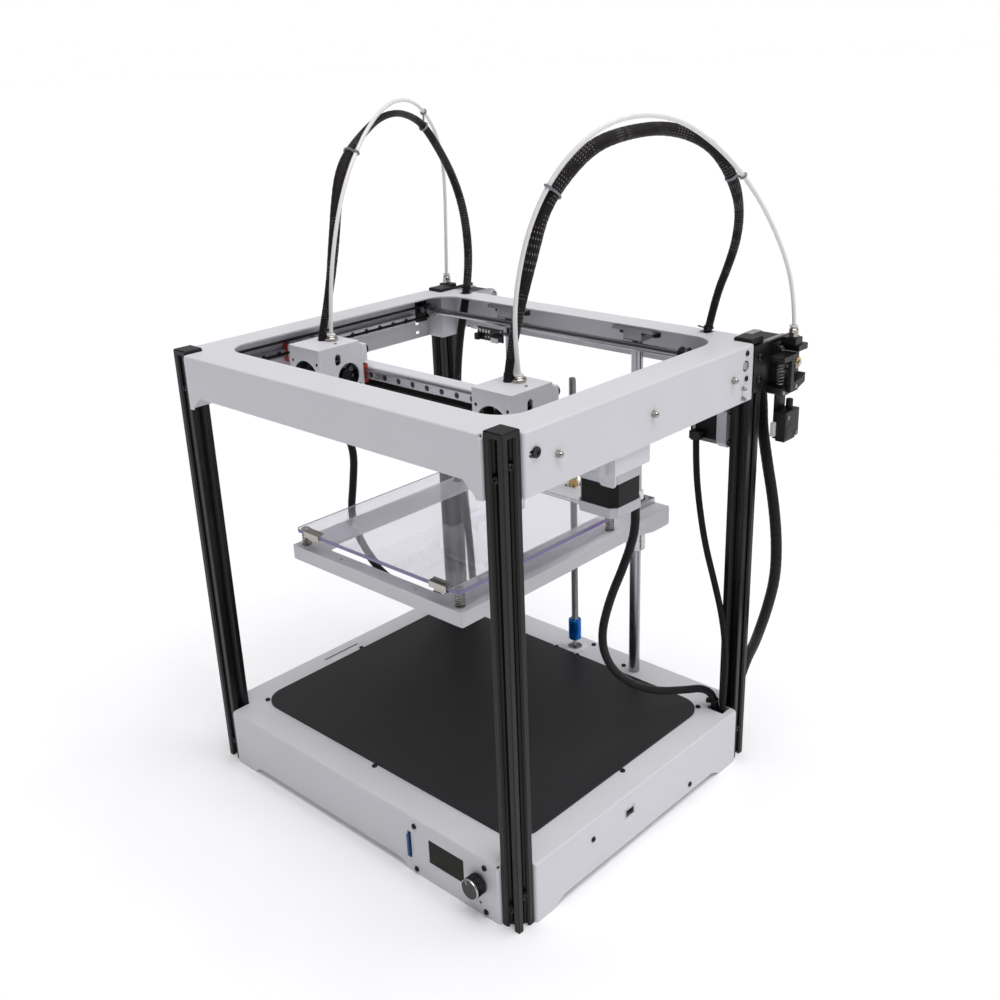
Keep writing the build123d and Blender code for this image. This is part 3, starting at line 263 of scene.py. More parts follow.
GLASS_EDGE = clear_material("plate_edge", (0.34, 0.29, 0.52), 1.5, 0.12, 0.25, (0.27, 0.22, 0.46))
TUBE = finish_of("feed_tube", (0.86, 0.85, 0.84), 0.30, 0.0, 200.0, 0.02, 0.03, (1, 1, 0.3))


# ------------------------------------------------------------------ mesh building
def aim(point, direction, spin=0.0):
    """Matrix that puts the origin at point and +Z along direction."""
    turn = Vector((0, 0, 1)).rotation_difference(Vector(direction)).to_matrix().to_4x4()
    return Matrix.Translation(point) @ turn @ Matrix.Rotation(spin, 4, "Z")


def merge(target, part, mat=0, matrix=None):
    """Adds one small mesh to another, with one material."""
    if matrix is not None:
        bmesh.ops.transform(part, matrix=matrix, verts=part.verts)
    for face in part.faces:
        face.material_index = mat
    mesh = bpy.data.meshes.new("part")
    part.to_mesh(mesh)
    part.free()
    target.from_mesh(mesh)
    bpy.data.meshes.remove(mesh)


def block(target, x, y, z, bevel=0.4, mat=0, matrix=None, segments=2):
    """Bevelled block; x, y and z are (low, high)."""
    part = bmesh.new()
    size = Matrix.Diagonal((abs(x[1] - x[0]), abs(y[1] - y[0]), abs(z[1] - z[0]), 1))
    centre = at((x[0] + x[1]) / 2, (y[0] + y[1]) / 2, (z[0] + z[1]) / 2)
    bmesh.ops.create_cube(part, size=1.0, matrix=centre @ size)
    if bevel:
        bmesh.ops.bevel(part, geom=part.edges[:], offset=bevel, offset_type="OFFSET", segments=segments,
                        profile=0.5, affect="EDGES", clamp_overlap=True)
    merge(target, part, mat, matrix)


def lathe(target, profile, matrix, mat=0, sides=40):
    """Turned solid about local Z from (radius, height) points; a radius of 0 closes it."""
    part = bmesh.new()
    rings = []
    for radius, height in profile:
        if radius <= 0:
            rings.append([part.verts.new((0, 0, height))])
            continue
        turns = [2 * math.pi * step / sides for step in range(sides)]
        rings.append([part.verts.new((radius * math.cos(a), radius * math.sin(a), height)) for a in turns])
    for low, high in zip(rings, rings[1:]):
        for step in range(sides):
            after = (step + 1) % sides
            corners = [low[step % len(low)], low[after % len(low)],
                       high[after % len(high)], high[step % len(high)]]
            unique = list(dict.fromkeys(corners))
            if len(unique) > 2:
                part.faces.new(unique)
    bmesh.ops.recalc_face_normals(part, faces=part.faces)
    merge(target, part, mat, matrix)


def polygon(radius, sides=6):
    turns = [2 * math.pi * n / sides for n in range(sides)]
    return [(radius * math.cos(a), radius * math.sin(a)) for a in turns]


def toothed(teeth, low, high):
    """Outline that steps between two radii, one after the other."""
    turns = [math.pi * n / teeth for n in range(teeth * 2)]
    radii = [low, high] * teeth
    return [(r * math.cos(a), r * math.sin(a)) for r, a in zip(radii, turns)]


def prism(target, outline, depth, matrix, mat=0, bevel=0.0):
    """Extruded outline of (x, y) points from local z 0 to depth, with eased rims."""
    part = bmesh.new()
    face = part.faces.new([part.verts.new((x, y, 0)) for x, y in outline])
    grown = bmesh.ops.extrude_face_region(part, geom=[face])
    moved = [v for v in grown["geom"] if isinstance(v, bmesh.types.BMVert)]
    bmesh.ops.translate(part, verts=moved, vec=(0, 0, depth))
    bmesh.ops.recalc_face_normals(part, faces=part.faces)
    if bevel:
        rims = [e for e in part.edges if abs(e.verts[0].co.z - e.verts[1].co.z) < 1e-6]
        bmesh.ops.bevel(part, geom=rims, offset=bevel, offset_type="OFFSET", segments=2, profile=0.5,
                        affect="EDGES", clamp_overlap=True)
    merge(target, part, mat, matrix)


def bored(target, outline, bore, depth, matrix, mat=0):
    """Extruded outline with a round bore through it, from local z 0 to depth."""
    part = bmesh.new()
    circle = [Vector((x, y)).normalized() * bore for x, y in outline]
    loops = []
    for ring, z in ((outline, 0), (outline, depth), (circle, depth), (circle, 0)):
        loops.append([part.verts.new((x, y, z)) for x, y in ring])
    for low, high in zip(loops, loops[1:] + loops[:1]):
        for n in range(len(outline)):
            after = (n + 1) % len(outline)
            part.faces.new((low[n], low[after], high[after], high[n]))
    bmesh.ops.recalc_face_normals(part, faces=part.faces)
    merge(target, part, mat, matrix)


def ring_frames(line):
    """Directions across a line, carried along it without twist."""
    frames = []
    across = None
    for index, point in enumerate(line):
        ahead = line[min(index + 1, len(line) - 1)] - line[max(index - 1, 0)]
        ahead.normalize()
        if across is None:
            across = ahead.orthogonal().normalized()
        across = (across - ahead * across.dot(ahead)).normalized()
        frames.append((point, across.copy(), ahead.cross(across)))
    return frames


def tube(target, line, radius, sides=10, mat=0, closed=False, braid=0.0):
    """Tube along points; radius is a number or one per point. braid is the size of the woven relief."""
    part = bmesh.new()
    layer = part.loops.layers.uv.new("braid")
    rings, travelled, along = [], 0.0, []
    for index, (point, one, two) in enumerate(ring_frames(line)):
        if index:
            travelled += (line[index] - line[index - 1]).length
        along.append(travelled)
        here = radius[index] if isinstance(radius, list) else radius
        ring = []
        for step in range(sides):
            angle = 2 * math.pi * step / sides
            lift = 1.0
            if braid:
                slide = 2.2 * travelled / here
                lift += braid * math.cos(8 * angle + slide) * math.cos(8 * angle - slide)
            ring.append(part.verts.new(point + (one * math.cos(angle) + two * math.sin(angle)) * here * lift))
        rings.append(ring)
    count = len(rings)
    for index in range(count if closed else count - 1):
        low, high = rings[index], rings[(index + 1) % count]
        for step in range(sides):
            after = (step + 1) % sides
            face = part.faces.new((low[step], low[after], high[after], high[step]))
            here = radius[index] if isinstance(radius, list) else radius
            spots = [(index, step), (index, step + 1), (index + 1, step + 1), (index + 1, step)]
            for loop, (i, s) in zip(face.loops, spots):
                loop[layer].uv = (along[min(i, count - 1)] / here * 0.9, 8.0 * s / sides)
    if not closed:
        part.faces.new(reversed(rings[0]))
        part.faces.new(rings[-1])
    merge(target, part, mat)


def helix(centre, radius, z0, z1, turns, per_turn=20):
    steps = int(turns * per_turn)
    line = []
    for step in range(steps + 1):
        angle = 2 * math.pi * step / per_turn
        rise = z0 + (z1 - z0) * step / steps
        x, y = centre[0] + radius * math.cos(angle), centre[1] + radius * math.sin(angle)
        line.append(Vector((x, y, rise)))
    return line


def piece(name, bm, body, mats, replaces=(), smooth=38.0):
    """Turns a mesh in millimetres into an object of the row that rides on a body."""
    mesh = bpy.data.meshes.new(name)
    bmesh.ops.transform(bm, matrix=ROW, verts=bm.verts)
    bm.to_mesh(mesh)
    bm.free()
    for mat in mats:
        mesh.materials.append(mat)
    mesh.polygons.foreach_set("use_smooth", [True] * len(mesh.polygons))
    mesh.set_sharp_from_angle(angle=math.radians(smooth))
    obj = bpy.data.objects.new(name, mesh)
    bpy.context.scene.collection.objects.link(obj)
    if body:
        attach(obj, body)
        even = obj.modifiers.new("flat faces stay flat", "WEIGHTED_NORMAL")
        even.keep_sharp = True
    if replaces:
        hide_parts(*replaces)
    return obj


# ------------------------------------------------------------------ cords
# The same points as in the part's own model, in millimetres.
ROUTES = {
    "bowden_right": (4.0, [
        (119.6, 126.0, 459.4), (118.0, 122.5, 500.0), (120.0, 127.5, 545.0), (126.0, 141.0, 593.0),
        (137.0, 168.0, 635.0), (155.0, 209.0, 664.0), (176.0, 261.0, 664.0), (196.0, 305.0, 636.0),
        (212.0, 344.0, 593.0), (224.0, 373.0, 543.0), (231.0, 387.0, 500.0), (232.0, 389.5, 467.5)]),
    "harness_right": (10.5, [
        (111.4, 121.8, 461.0), (110.5, 131.0, 495.0), (121.5, 141.0, 553.0), (124.5, 153.0, 593.0),
        (130.0, 176.0, 620.0), (138.0, 204.0, 642.0), (148.0, 233.0, 650.0), (161.0, 268.0, 652.5),
        (173.0, 297.0, 645.5), (184.0, 319.5, 631.0), (193.0, 334.5, 606.0), (193.5, 348.0, 578.0),
        (188.0, 354.0, 549.0), (177.0, 358.0, 521.5), (164.0, 359.0, 491.0), (156.0, 357.0, 449.0)]),
    "bowden_left": (4.0, [
        (-129.8, 126.0, 459.5), (-128.0, 128.6, 505.5), (-133.0, 142.7, 549.5), (-140.0, 160.0, 583.5),
        (-147.0, 179.0, 609.5), (-154.0, 197.0, 627.0), (-162.0, 219.5, 646.0), (-173.0, 250.0, 663.0),
        (-184.0, 283.0, 671.0), (-196.0, 317.0, 667.5), (-206.0, 343.5, 654.0), (-217.0, 371.0, 628.5),
        (-226.0, 388.0, 591.5), (-232.0, 393.5, 540.5), (-232.0, 389.5, 467.5)]),
    "harness_left": (9.0, [
        (-138.0, 121.8, 461.0), (-134.5, 133.0, 502.0), (-141.0, 149.0, 548.0), (-148.5, 162.0, 582.5),
        (-154.0, 173.5, 606.0), (-159.5, 190.5, 626.5), (-169.5, 221.0, 642.5), (-177.5, 250.5, 655.0),
        (-186.0, 283.5, 658.5), (-194.0, 313.5, 651.5), (-199.0, 335.5, 640.0), (-198.0, 357.0, 611.0),
        (-193.0, 369.0, 584.0), (-186.0, 374.5, 554.5), (-178.0, 372.5, 524.0), (-170.0, 365.5, 492.0),
        (-167.0, 355.5, 453.0), (-164.5, 338.0, 403.0), (-163.5, 330.0, 350.0), (-164.5, 331.0, 292.0),
        (-167.0, 336.0, 234.0), (-168.0, 341.0, 176.0), (-167.0, 344.0, 118.0), (-166.0, 345.0, 55.0)]),
    "x_motor_cable_right": (8.0, [
        (200.0, 183.4, 348.1), (200.0, 188.0, 322.0), (193.0, 180.0, 286.0), (181.0, 171.0, 246.0),
        (170.0, 173.0, 203.0), (165.0, 193.0, 163.0), (164.0, 227.0, 128.0), (169.0, 265.0, 103.0),
        (181.0, 302.0, 92.0), (191.0, 320.0, 90.0), (198.0, 332.0, 76.0), (199.0, 334.5, 50.0)]),
    "x_motor_cable_left": (8.5, [
        (-200.0, 183.4, 347.0), (-199.5, 187.5, 331.0), (-188.0, 190.0, 308.0), (-185.0, 182.0, 272.0),
        (-185.0, 175.0, 238.0), (-180.0, 180.0, 203.0), (-171.0, 198.0, 163.0), (-167.0, 230.0, 130.0),
        (-171.0, 264.0, 104.0), (-183.0, 299.0, 92.0), (-192.0, 318.0, 90.0), (-199.0, 331.0, 75.0),
        (-200.5, 334.5, 48.0)]),
    "y_motor_cable": (6.5, [
        (164.0, 333.0, 355.7), (166.0, 331.0, 328.0), (172.0, 329.5, 290.0), (181.0, 329.0, 248.0),
        (193.5, 330.0, 208.0), (204.0, 331.5, 168.0), (209.5, 331.0, 127.0), (208.0, 332.0, 88.0),
        (206.5, 333.0, 50.0)]),
    "rear_harness": (11.0, [
        (200.0, 388.0, 407.8), (202.0, 390.0, 388.0), (206.0, 386.0, 362.0), (218.0, 378.0, 330.0),
        (230.0, 373.5, 292.0), (236.0, 373.5, 252.0), (236.5, 374.5, 212.0), (229.0, 375.5, 174.0),
        (218.0, 381.0, 141.0), (206.0, 392.0, 115.0), (194.0, 401.0, 92.0), (188.0, 402.0, 72.5),
        (186.5, 394.3, 54.5), (186.0, 378.6, 42.2), (186.0, 359.0, 38.0)]),
}


def spline_line(points):
    """Millimetre points along the NURBS curve whose control points are the route's points."""
    curve = bpy.data.curves.new("route", "CURVE")
    curve.dimensions = "3D"
    curve.resolution_u = 24
    spline = curve.splines.new("NURBS")
    spline.points.add(len(points) - 1)
    for spot, point in zip(spline.points, points):
        spot.co = (*to_row(point), 1.0)
    spline.order_u = 3
    spline.use_endpoint_u = True
    holder = bpy.data.objects.new("route", curve)
    bpy.context.scene.collection.objects.link(holder)
    bpy.context.view_layer.update()
    mesh = bpy.data.meshes.new_from_object(holder)
    line = [ROW.inverted() @ v.co for v in mesh.vertices]
    bpy.data.objects.remove(holder)
    bpy.data.curves.remove(curve)
    bpy.data.meshes.remove(mesh)
    return line


def eased(line, steps):
    """One width per point of a line, eased between (share of the line, width) steps."""
    widths = []
    for index in range(len(line)):
        share = index / (len(line) - 1)
        below = max(step for step in steps if step[0] <= share)
        above = min(step for step in steps if step[0] >= share)
        t = (share - below[0]) / (above[0] - below[0]) if above[0] > below[0] else 0.0
        widths.append(below[1] + (above[1] - below[1]) * t * t * (3 - 2 * t))
    return widths


# Widths of the open braid, which swells and tightens along its length.
BRAID_WIDTHS = {
    "right_front": [(0, 7.6), (0.14, 10.0), (0.35, 12.6), (0.7, 12.6), (1, 11.6)],
    "right_rear": [(0, 11.6), (0.4, 10.8), (0.58, 8.4), (1, 7.4)],
    "left_front": [(0, 7.6), (0.22, 10.8), (0.5, 11.2), (0.68, 8.2), (1, 6.8)],
    "left_rear": [(0, 6.8), (0.35, 8.6), (0.8, 9.4), (1, 9.0)],
}


def cord_piece(name, line, width, mat, replaces=(), body=None, bodies=None):
    """One stretch of cord. It rides on a body, or, given two bodies, stays fixed where it is drawn."""
    bm = bmesh.new()
    radii = [w / 2 for w in width] if isinstance(width, list) else width / 2
    woven = mat in (BRAID, DENSE_BRAID)
    tube(bm, line, radii, 40 if woven else 20, 0, False, 0.022 if woven else 0.0)
    obj = piece(name, bm, body, [mat], replaces, 60.0)
    if bodies:
        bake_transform(obj)
    return obj


def make_cords():
    lines = {}
    for name, (width, points) in ROUTES.items():
        lines[name] = spline_line(points)
    for side in SIDES:
        head = f"head_{side}"
        for kind, mat in (("bowden", TUBE), ("harness", BRAID)):
            name = f"{kind}_{side}"
            width = ROUTES[name][0]
            line = lines[name]
            top = max(range(len(line)), key=lambda i: line[i].z)
            low = len(line) - 1
            if name == "harness_left":
                low = next(i for i in range(top, len(line)) if line[i].z < 456)
            front, rear = line[:top + 1], line[top:low + 1]
            wide_front = wide_rear = width
            if kind == "harness":
                wide_front = eased(front, BRAID_WIDTHS[f"{side}_front"])
                wide_rear = eased(rear, BRAID_WIDTHS[f"{side}_rear"])
            cord_piece(f"{name}_front", front, wide_front, mat, (name,), None, (head, "gantry"))
            cord_piece(f"{name}_rear", rear, wide_rear, mat, (), None, ("gantry", "frame"))
            if low < len(line) - 1:
                cord_piece(f"{name}_drop", line[low:], width, mat, (), "frame", None)
        name = f"x_motor_cable_{side}"
        cord_piece(name + "_sleeve", lines[name], ROUTES[name][0], DENSE_BRAID, (name,), None,
                   ("gantry", "frame"))
    for name in ("y_motor_cable", "rear_harness"):
        cord_piece(name + "_sleeve", lines[name], ROUTES[name][0], DENSE_BRAID, (name,), "frame")
    return lines


LINES = make_cords()


# ------------------------------------------------------------------ screws and nuts
def button_screw(bm, point, direction, radius, height, mat=0, socket=1):
    """Domed screw head with a hexagon socket."""
    key = radius * 0.46
    profile = [(key, height * 0.35), (key, height), (radius * 0.62, height), (radius * 0.86, height * 0.80),
               (radius * 0.98, height * 0.42), (radius, height * 0.12), (radius * 0.97, 0.0)]
    lathe(bm, profile, aim(point, direction), mat, 24)
    sides = [2 * math.pi * n / 6 for n in range(6)]
    # the hexagon socket's floor takes the socket material; bright screws get a black one there, painted shade for
    # the depth of the hole
    ring = [(key * 1.02, height * 0.36), (key * 0.5, height * 0.30), (0, height * 0.30)]
    lathe(bm, ring, aim(point, direction), socket, len(sides))


def cap_screw(bm, point, direction, radius, height, mat=0, socket=1):
    """Cylindrical socket-head screw."""
    key = radius * 0.52
    profile = [(0, height * 0.45), (key, height * 0.45), (key, height), (radius * 0.90, height),
               (radius, height * 0.9), (radius, 0.0)]
    lathe(bm, profile, aim(point, direction), mat, 24)
    # the socket floor takes the socket material; bright screws get a black one there, painted shade for the depth of
    # the hole
    lathe(bm, [(key, height * 0.47), (0, height * 0.46)], aim(point, direction), socket, 6)


def acorn_nut(bm, point, direction, radius=3.1, mat=0):
    turn = aim(point, direction)
    lathe(bm, [(radius * 1.15, 0), (radius * 1.15, 0.5), (radius * 0.9, 0.8)], turn, mat, 32)
    prism(bm, polygon(radius), 2.6, turn @ at(0, 0, 0.6), mat, 0.3)
    dome = [(radius * 0.86 * math.cos(math.radians(a)), 3.0 + radius * 0.86 * math.sin(math.radians(a)))
            for a in range(0, 90, 15)]
    lathe(bm, dome + [(0, 3.0 + radius * 0.86)], turn, mat, 28)


def make_fasteners():
    bm = bmesh.new()
    for side in (-1, 1):
        for y in (59, 184, 308):
            acorn_nut(bm, (side * WALL_X, y, 429.5), (side, 0, 0), 3.0, 2)
        for z in (426.5, 450.5):
            button_screw(bm, (side * WALL_X, 330, z), (side, 0, 0), 2.7, 1.4)
        for y, z in ((100, 43), (257, 17)):
            button_screw(bm, (side * WALL_X, y, z), (side, 0, 0), 2.8, 1.4)
        for z in (421, 441.5):
            button_screw(bm, (side * WALL_X, 353, z), (side, 0, 0), 4.0, 2.2)
    for z in (417.9, 408.2):
        acorn_nut(bm, (WALL_X, 325, z), (1, 0, 0), 1.9, 2)
    for x in (-106, -66, 66, 106):
        cap_screw(bm, (x, 345, 452), (0, 0, -1), 4.5, 5.5)
    corners = [(x, y) for x in (-184, 184) for y in (36.5, 321.5)]
    for x, y in [(0, 28.8), (-192.2, 179), (192.2, 179)] + corners:
        button_screw(bm, (x, y, BASE_TOP), (0, 0, 1), 2.8, 1.9)
    for dx in (-15.5, 15.5):
        for dy in (-15.5, 15.5):
            button_screw(bm, (dx, SCREW_Y + dy, BASE_TOP), (0, 0, 1), 2.8, 1.8)
    for x in (-100.5, 71.5):
        button_screw(bm, (x, 341, BASE_TOP), (0, 0, 1), 2.8, 1.8)
    for x in (89.5, 179.0):
        for z in (5.6, 54.0):
            button_screw(bm, (x, -3, z), (0, -1, 0), 2.9, 1.6)
    for sx in (-1, 1):
        for face, inward in ((0.0, 1), (363.0, -1)):
            for z in (20, 422):
                button_screw(bm, (sx * 205.5, face + inward * 2.6, z), (0, -inward, 0), 3.1, 2.0, 0, 1)
        for y in (10, 353):
            for z in (33, 432):
                button_screw(bm, (sx * 212.9, y, z), (sx, 0, 0), 3.1, 2.0, 0, 1)
    piece("machine_screws", bm, "frame", [BLACK_METAL, BLACK_PLASTIC, NICKEL, THREAD], ("frame_fasteners",))


# ------------------------------------------------------------------ motors
def motor(bm, matrix, length, shaft=22.0, rear=9.5, flange=9.5):
    """Hybrid stepper motor about local Z: two cast end caps, a laminated stack, boss, screws and shaft."""
    half, cut = 21.15, 5.0
    cap_low, cap_high = rear, length - flange

    def outline(size, corner):
        edge = size - corner
        return [(-edge, -size), (edge, -size), (size, -edge), (size, edge), (edge, size), (-edge, size),
                (-size, edge), (-size, -edge)]

    prism(bm, outline(half, cut), cap_low, matrix, 0, 0.5)
    prism(bm, outline(half - 0.55, cut + 1.2), cap_high - cap_low + 0.6,
          matrix @ at(0, 0, cap_low - 0.3), 1, 0.1)
    prism(bm, outline(half, cut), length - cap_high, matrix @ at(0, 0, cap_high), 0, 0.5)
    lathe(bm, [(11.0, length - 0.2), (11.0, length + 1.3), (10.6, length + 1.7), (5.2, length + 1.7),
               (5.0, length + 1.0), (2.5, length + 1.0)], matrix, 0, 48)
    tip = length + shaft
    lathe(bm, [(2.5, length), (2.5, tip - 0.4), (2.1, tip), (0, tip)], matrix, 2, 24)
    for x in (-15.5, 15.5):
        for y in (-15.5, 15.5):
            place = matrix @ at(x, y, 0)
            lathe(bm, [(0, 0.6), (1.5, 0.6), (1.5, -0.1), (2.9, -0.1), (3.0, 0.02)], place, 3, 20)


def motor_plug(bm, x, y, z, mat_body, mat_wire):
    """White crimp housing with its short wires."""
    block(bm, x, y, z, 0.4, mat_body)
    middle_y, low = (y[0] + y[1]) / 2, z[0]
    step = (x[1] - x[0]) / 5
    for n in range(4):
        wire_x = x[0] + step * (n + 1)
        line = [Vector((wire_x, middle_y, low + 0.5)), Vector((wire_x, middle_y, low - 0.8))]
        tube(bm, line, 0.6, 8, mat_wire if n % 2 else 3)


def make_motors():
    bm = bmesh.new()
    motor(bm, at(0, SCREW_Y, 19.3), 40.0)
    motor(bm, at(195.0, Y_MOTOR_Y, Y_MOTOR_Z) @ turned(-90, "Y"), 38.0,
          22.0, 11.0, 3.0)
    block(bm, (158, 170), (329, 337.2), (356, 364), 0.5, 3)
    for side in (-1, 1):
        turn = turned(90 * side, "Y")
        motor(bm, at(side * 175.5, 396, 430) @ turn, 40.0)
    piece("frame_steppers", bm, "frame", [CAST, LAMINATED, STEEL, BLACK_METAL, WHITE_PLASTIC],
          ("frame_motors",))
    bm = bmesh.new()
    for side in (-1, 1):
        motor(bm, at(side * X_MOTOR_X, X_MOTOR_Y, 346.6), 40.0)
        xs = (193, 207) if side > 0 else (-207, -193)
        motor_plug(bm, xs, (179.0, 187.5), (349.0, 357.6), 4, 5)
    piece("gantry_steppers", bm, "gantry", [CAST, LAMINATED, STEEL, BLACK_METAL, WHITE_PLASTIC, RED_WIRE],
          ("x_motors",))


# ------------------------------------------------------------------ belts, pulleys, rails
def toothed_loop(bm, start, end, across, radius, width, thick=1.4, pitch=2.0, mat=0):
    """Timing belt round two pulleys, centred on start and end; across is the belt's width direction."""
    start, end, across = Vector(start), Vector(end), Vector(across).normalized()
    ahead = (end - start).normalized()
    side = across.cross(ahead)
    span = (end - start).length
    path = []
    flat = int(span / (pitch / 2))
    curve = max(6, int(math.pi * radius / (pitch / 2)))
    for step in range(flat):
        path.append((start + ahead * span * step / flat, side))
    for step in range(curve):
        angle = math.pi * step / curve
        path.append((end, side * math.cos(angle) + ahead * math.sin(angle)))
    for step in range(flat):
        path.append((end - ahead * span * step / flat, -side))
    for step in range(curve):
        angle = math.pi * step / curve
        path.append((start, -side * math.cos(angle) - ahead * math.sin(angle)))
    part = bmesh.new()
    rings = []
    for index, (centre, outward) in enumerate(path):
        tooth = 0.0 if index % 2 else 0.5
        inner, outer = radius - thick / 2 + tooth, radius + thick / 2
        ring = [centre + outward * r + across * w for r, w in
                ((inner, -width / 2), (inner, width / 2), (outer, width / 2), (outer, -width / 2))]
        rings.append([part.verts.new(v) for v in ring])
    for index, ring in enumerate(rings):
        other = rings[(index + 1) % len(rings)]
        for step in range(4):
            after = (step + 1) % 4
            part.faces.new((ring[step], ring[after], other[after], other[step]))
    bmesh.ops.recalc_face_normals(part, faces=part.faces)
    merge(bm, part, mat)


def toothed_pulley(bm, matrix, bore, half=4.5, mat=0, teeth=20):
    """Timing pulley about local Z, with teeth between two flanges."""
    rim, valley = 5.6, 4.9
    outline = []
    for n in range(teeth * 4):
        angle = 2 * math.pi * n / (teeth * 4)
        r = rim if n % 4 < 2 else valley
        outline.append((r * math.cos(angle), r * math.sin(angle)))
    bored(bm, outline, bore, 2 * half - 2.2, matrix @ at(0, 0, -half + 1.1), mat)
    for z in (-half, half - 1.1):
        flange = [(bore, z), (7.7, z), (8.0, z + 0.25), (8.0, z + 0.85), (7.7, z + 1.1), (bore, z + 1.1)]
        lathe(bm, flange, matrix, mat, 48)


def make_drives():
    bm = bmesh.new()
    for side in (-1, 1):
        toothed_loop(bm, (side * Y_BELT_X, Y_IDLER_Y, SHAFT_Z), (side * Y_BELT_X, SHAFT_Y, SHAFT_Z), (1, 0, 0),
                     BELT_PITCH_RADIUS, 6.0)
    toothed_loop(bm, (Y_DRIVE_X, Y_MOTOR_Y, Y_MOTOR_Z), (Y_DRIVE_X, SHAFT_Y, SHAFT_Z), (1, 0, 0),
                 BELT_PITCH_RADIUS, 6.0)
    piece("y_timing_belts", bm, "frame", [BELT], ("y_belts",))
    bm = bmesh.new()
    for side, z in X_BELTS:
        toothed_loop(bm, (-side * X_IDLER_X, X_MOTOR_Y, z), (side * X_MOTOR_X, X_MOTOR_Y, z), (0, 0, 1),
                     BELT_PITCH_RADIUS, 6.0)
    piece("x_timing_belts", bm, "gantry", [BELT], ("x_belts",))
    bm = bmesh.new()
    for side, z in X_BELTS:
        toothed_pulley(bm, at(side * X_MOTOR_X, X_MOTOR_Y, z), 2.53, 4.2)
        toothed_pulley(bm, at(-side * X_IDLER_X, X_MOTOR_Y, z), 2.1, 4.2)
        lathe(bm, [(0, z - 6), (3.2, z - 6), (3.5, z - 5.7), (3.5, z - 4.6), (2.05, z - 4.5), (2.05, 412.5)],
              at(-side * X_IDLER_X, X_MOTOR_Y, 0), 1, 24)
    piece("x_pulley_set", bm, "gantry", [STEEL, BLACK_METAL], ("x_pulleys",))
    across = turned(90, "Y")
    bm = bmesh.new()
    lathe(bm, [(0, -217.8), (3.7, -217.8), (4, -217.4), (4, 217.4), (3.7, 217.8), (0, 217.8)],
          at(0, SHAFT_Y, SHAFT_Z) @ across, 0, 40)
    for x in (-Y_BELT_X, Y_DRIVE_X, Y_BELT_X):
        toothed_pulley(bm, at(x, SHAFT_Y, SHAFT_Z) @ across, 3.9)
    for side in (-1, 1):
        hub = at(side * 204.0, SHAFT_Y, SHAFT_Z) @ turned(90 * side, "Y")
        lathe(bm, [(3.9, 0), (6.2, 0), (6.5, 0.3), (6.5, 6.1), (6.2, 6.4), (3.9, 6.4)], hub, 0, 36)
        lathe(bm, [(0, 6.2), (1.5, 6.2), (1.6, 6.9)], hub @ at(0, 0, 3.2)
              @ turned(-90, "Y"), 1, 12)
    piece("y_shaft_set", bm, "y_shaft", [CHROME, BLACK_METAL], ("y_drive_shaft",))
    bm = bmesh.new()
    toothed_pulley(bm, at(Y_DRIVE_X, Y_MOTOR_Y, Y_MOTOR_Z) @ across, 2.53)
    piece("y_motor_pulley_turned", bm, "y_pulley", [STEEL], ("y_motor_pulley",))
    bm = bmesh.new()
    for side in (-1, 1):
        place = at(side * Y_BELT_X, Y_IDLER_Y, SHAFT_Z) @ turned(90 * side, "Y")
        toothed_pulley(bm, place, 2.1)
        lathe(bm, [(0, -4.9), (2.1, -4.9), (2.1, 19.0), (4.3, 19.0), (4.6, 19.3), (4.6, 20.6), (4.2, 21.0),
                   (2.2, 21.0), (2.0, 20.2), (0, 20.2)], place, 1, 32)
    piece("y_idler_set", bm, "frame", [STEEL, BLACK_METAL], ("y_idlers",))


def rail_profile(width, height):
    """Cross-section of a miniature rail, base at y 0, top at y = height, with side grooves."""
    half = width / 2
    right = [(half, 0), (half, height * 0.42), (half - 0.9, height * 0.52), (half - 0.9, height * 0.68),
             (half, height * 0.78), (half, height - 0.5), (half - 0.5, height)]
    return right + [(-x, y) for x, y in reversed(right)]


def rail(bm, matrix, length, first, count):
    """Miniature rail along local Z with its screws; holes are dark sockets in the top face."""
    prism(bm, rail_profile(9.0, 6.5), length, matrix, 0)
    for n in range(count):
        place = matrix @ at(0, 6.5, first + 20 * n) @ turned(-90, "X")
        lathe(bm, [(3.35, 0.0), (3.2, 0.06), (2.95, 0.02)], place, 0, 32)
        lathe(bm, [(2.95, 0.03), (2.75, 0.035), (1.45, 0.035), (1.4, 0.03), (0, 0.03)], place, 1, 32)


def make_rails():
    bm = bmesh.new()
    for side in (-1, 1):
        # local z along +Y, local y towards the middle of the machine
        turn = Matrix(((0, -side, 0, side * RAIL_X), (0, 0, 1, 25.0), (-side, 0, 0, Y_RAIL_Z), (0, 0, 0, 1)))
        rail(bm, turn, 290.0, 15.0, 14)
    piece("y_rail_pair", bm, "frame", [RAIL, BLACK_METAL], ("y_rails",))
    bm = bmesh.new()
    turn = Matrix(((0, 0, 1, -195.0), (0, -1, 0, X_RAIL_Y), (1, 0, 0, X_RAIL_Z), (0, 0, 0, 1)))
    rail(bm, turn, 390.0, 15.0, 19)
    piece("x_rail_single", bm, "gantry", [RAIL, BLACK_METAL], ("x_rail",))


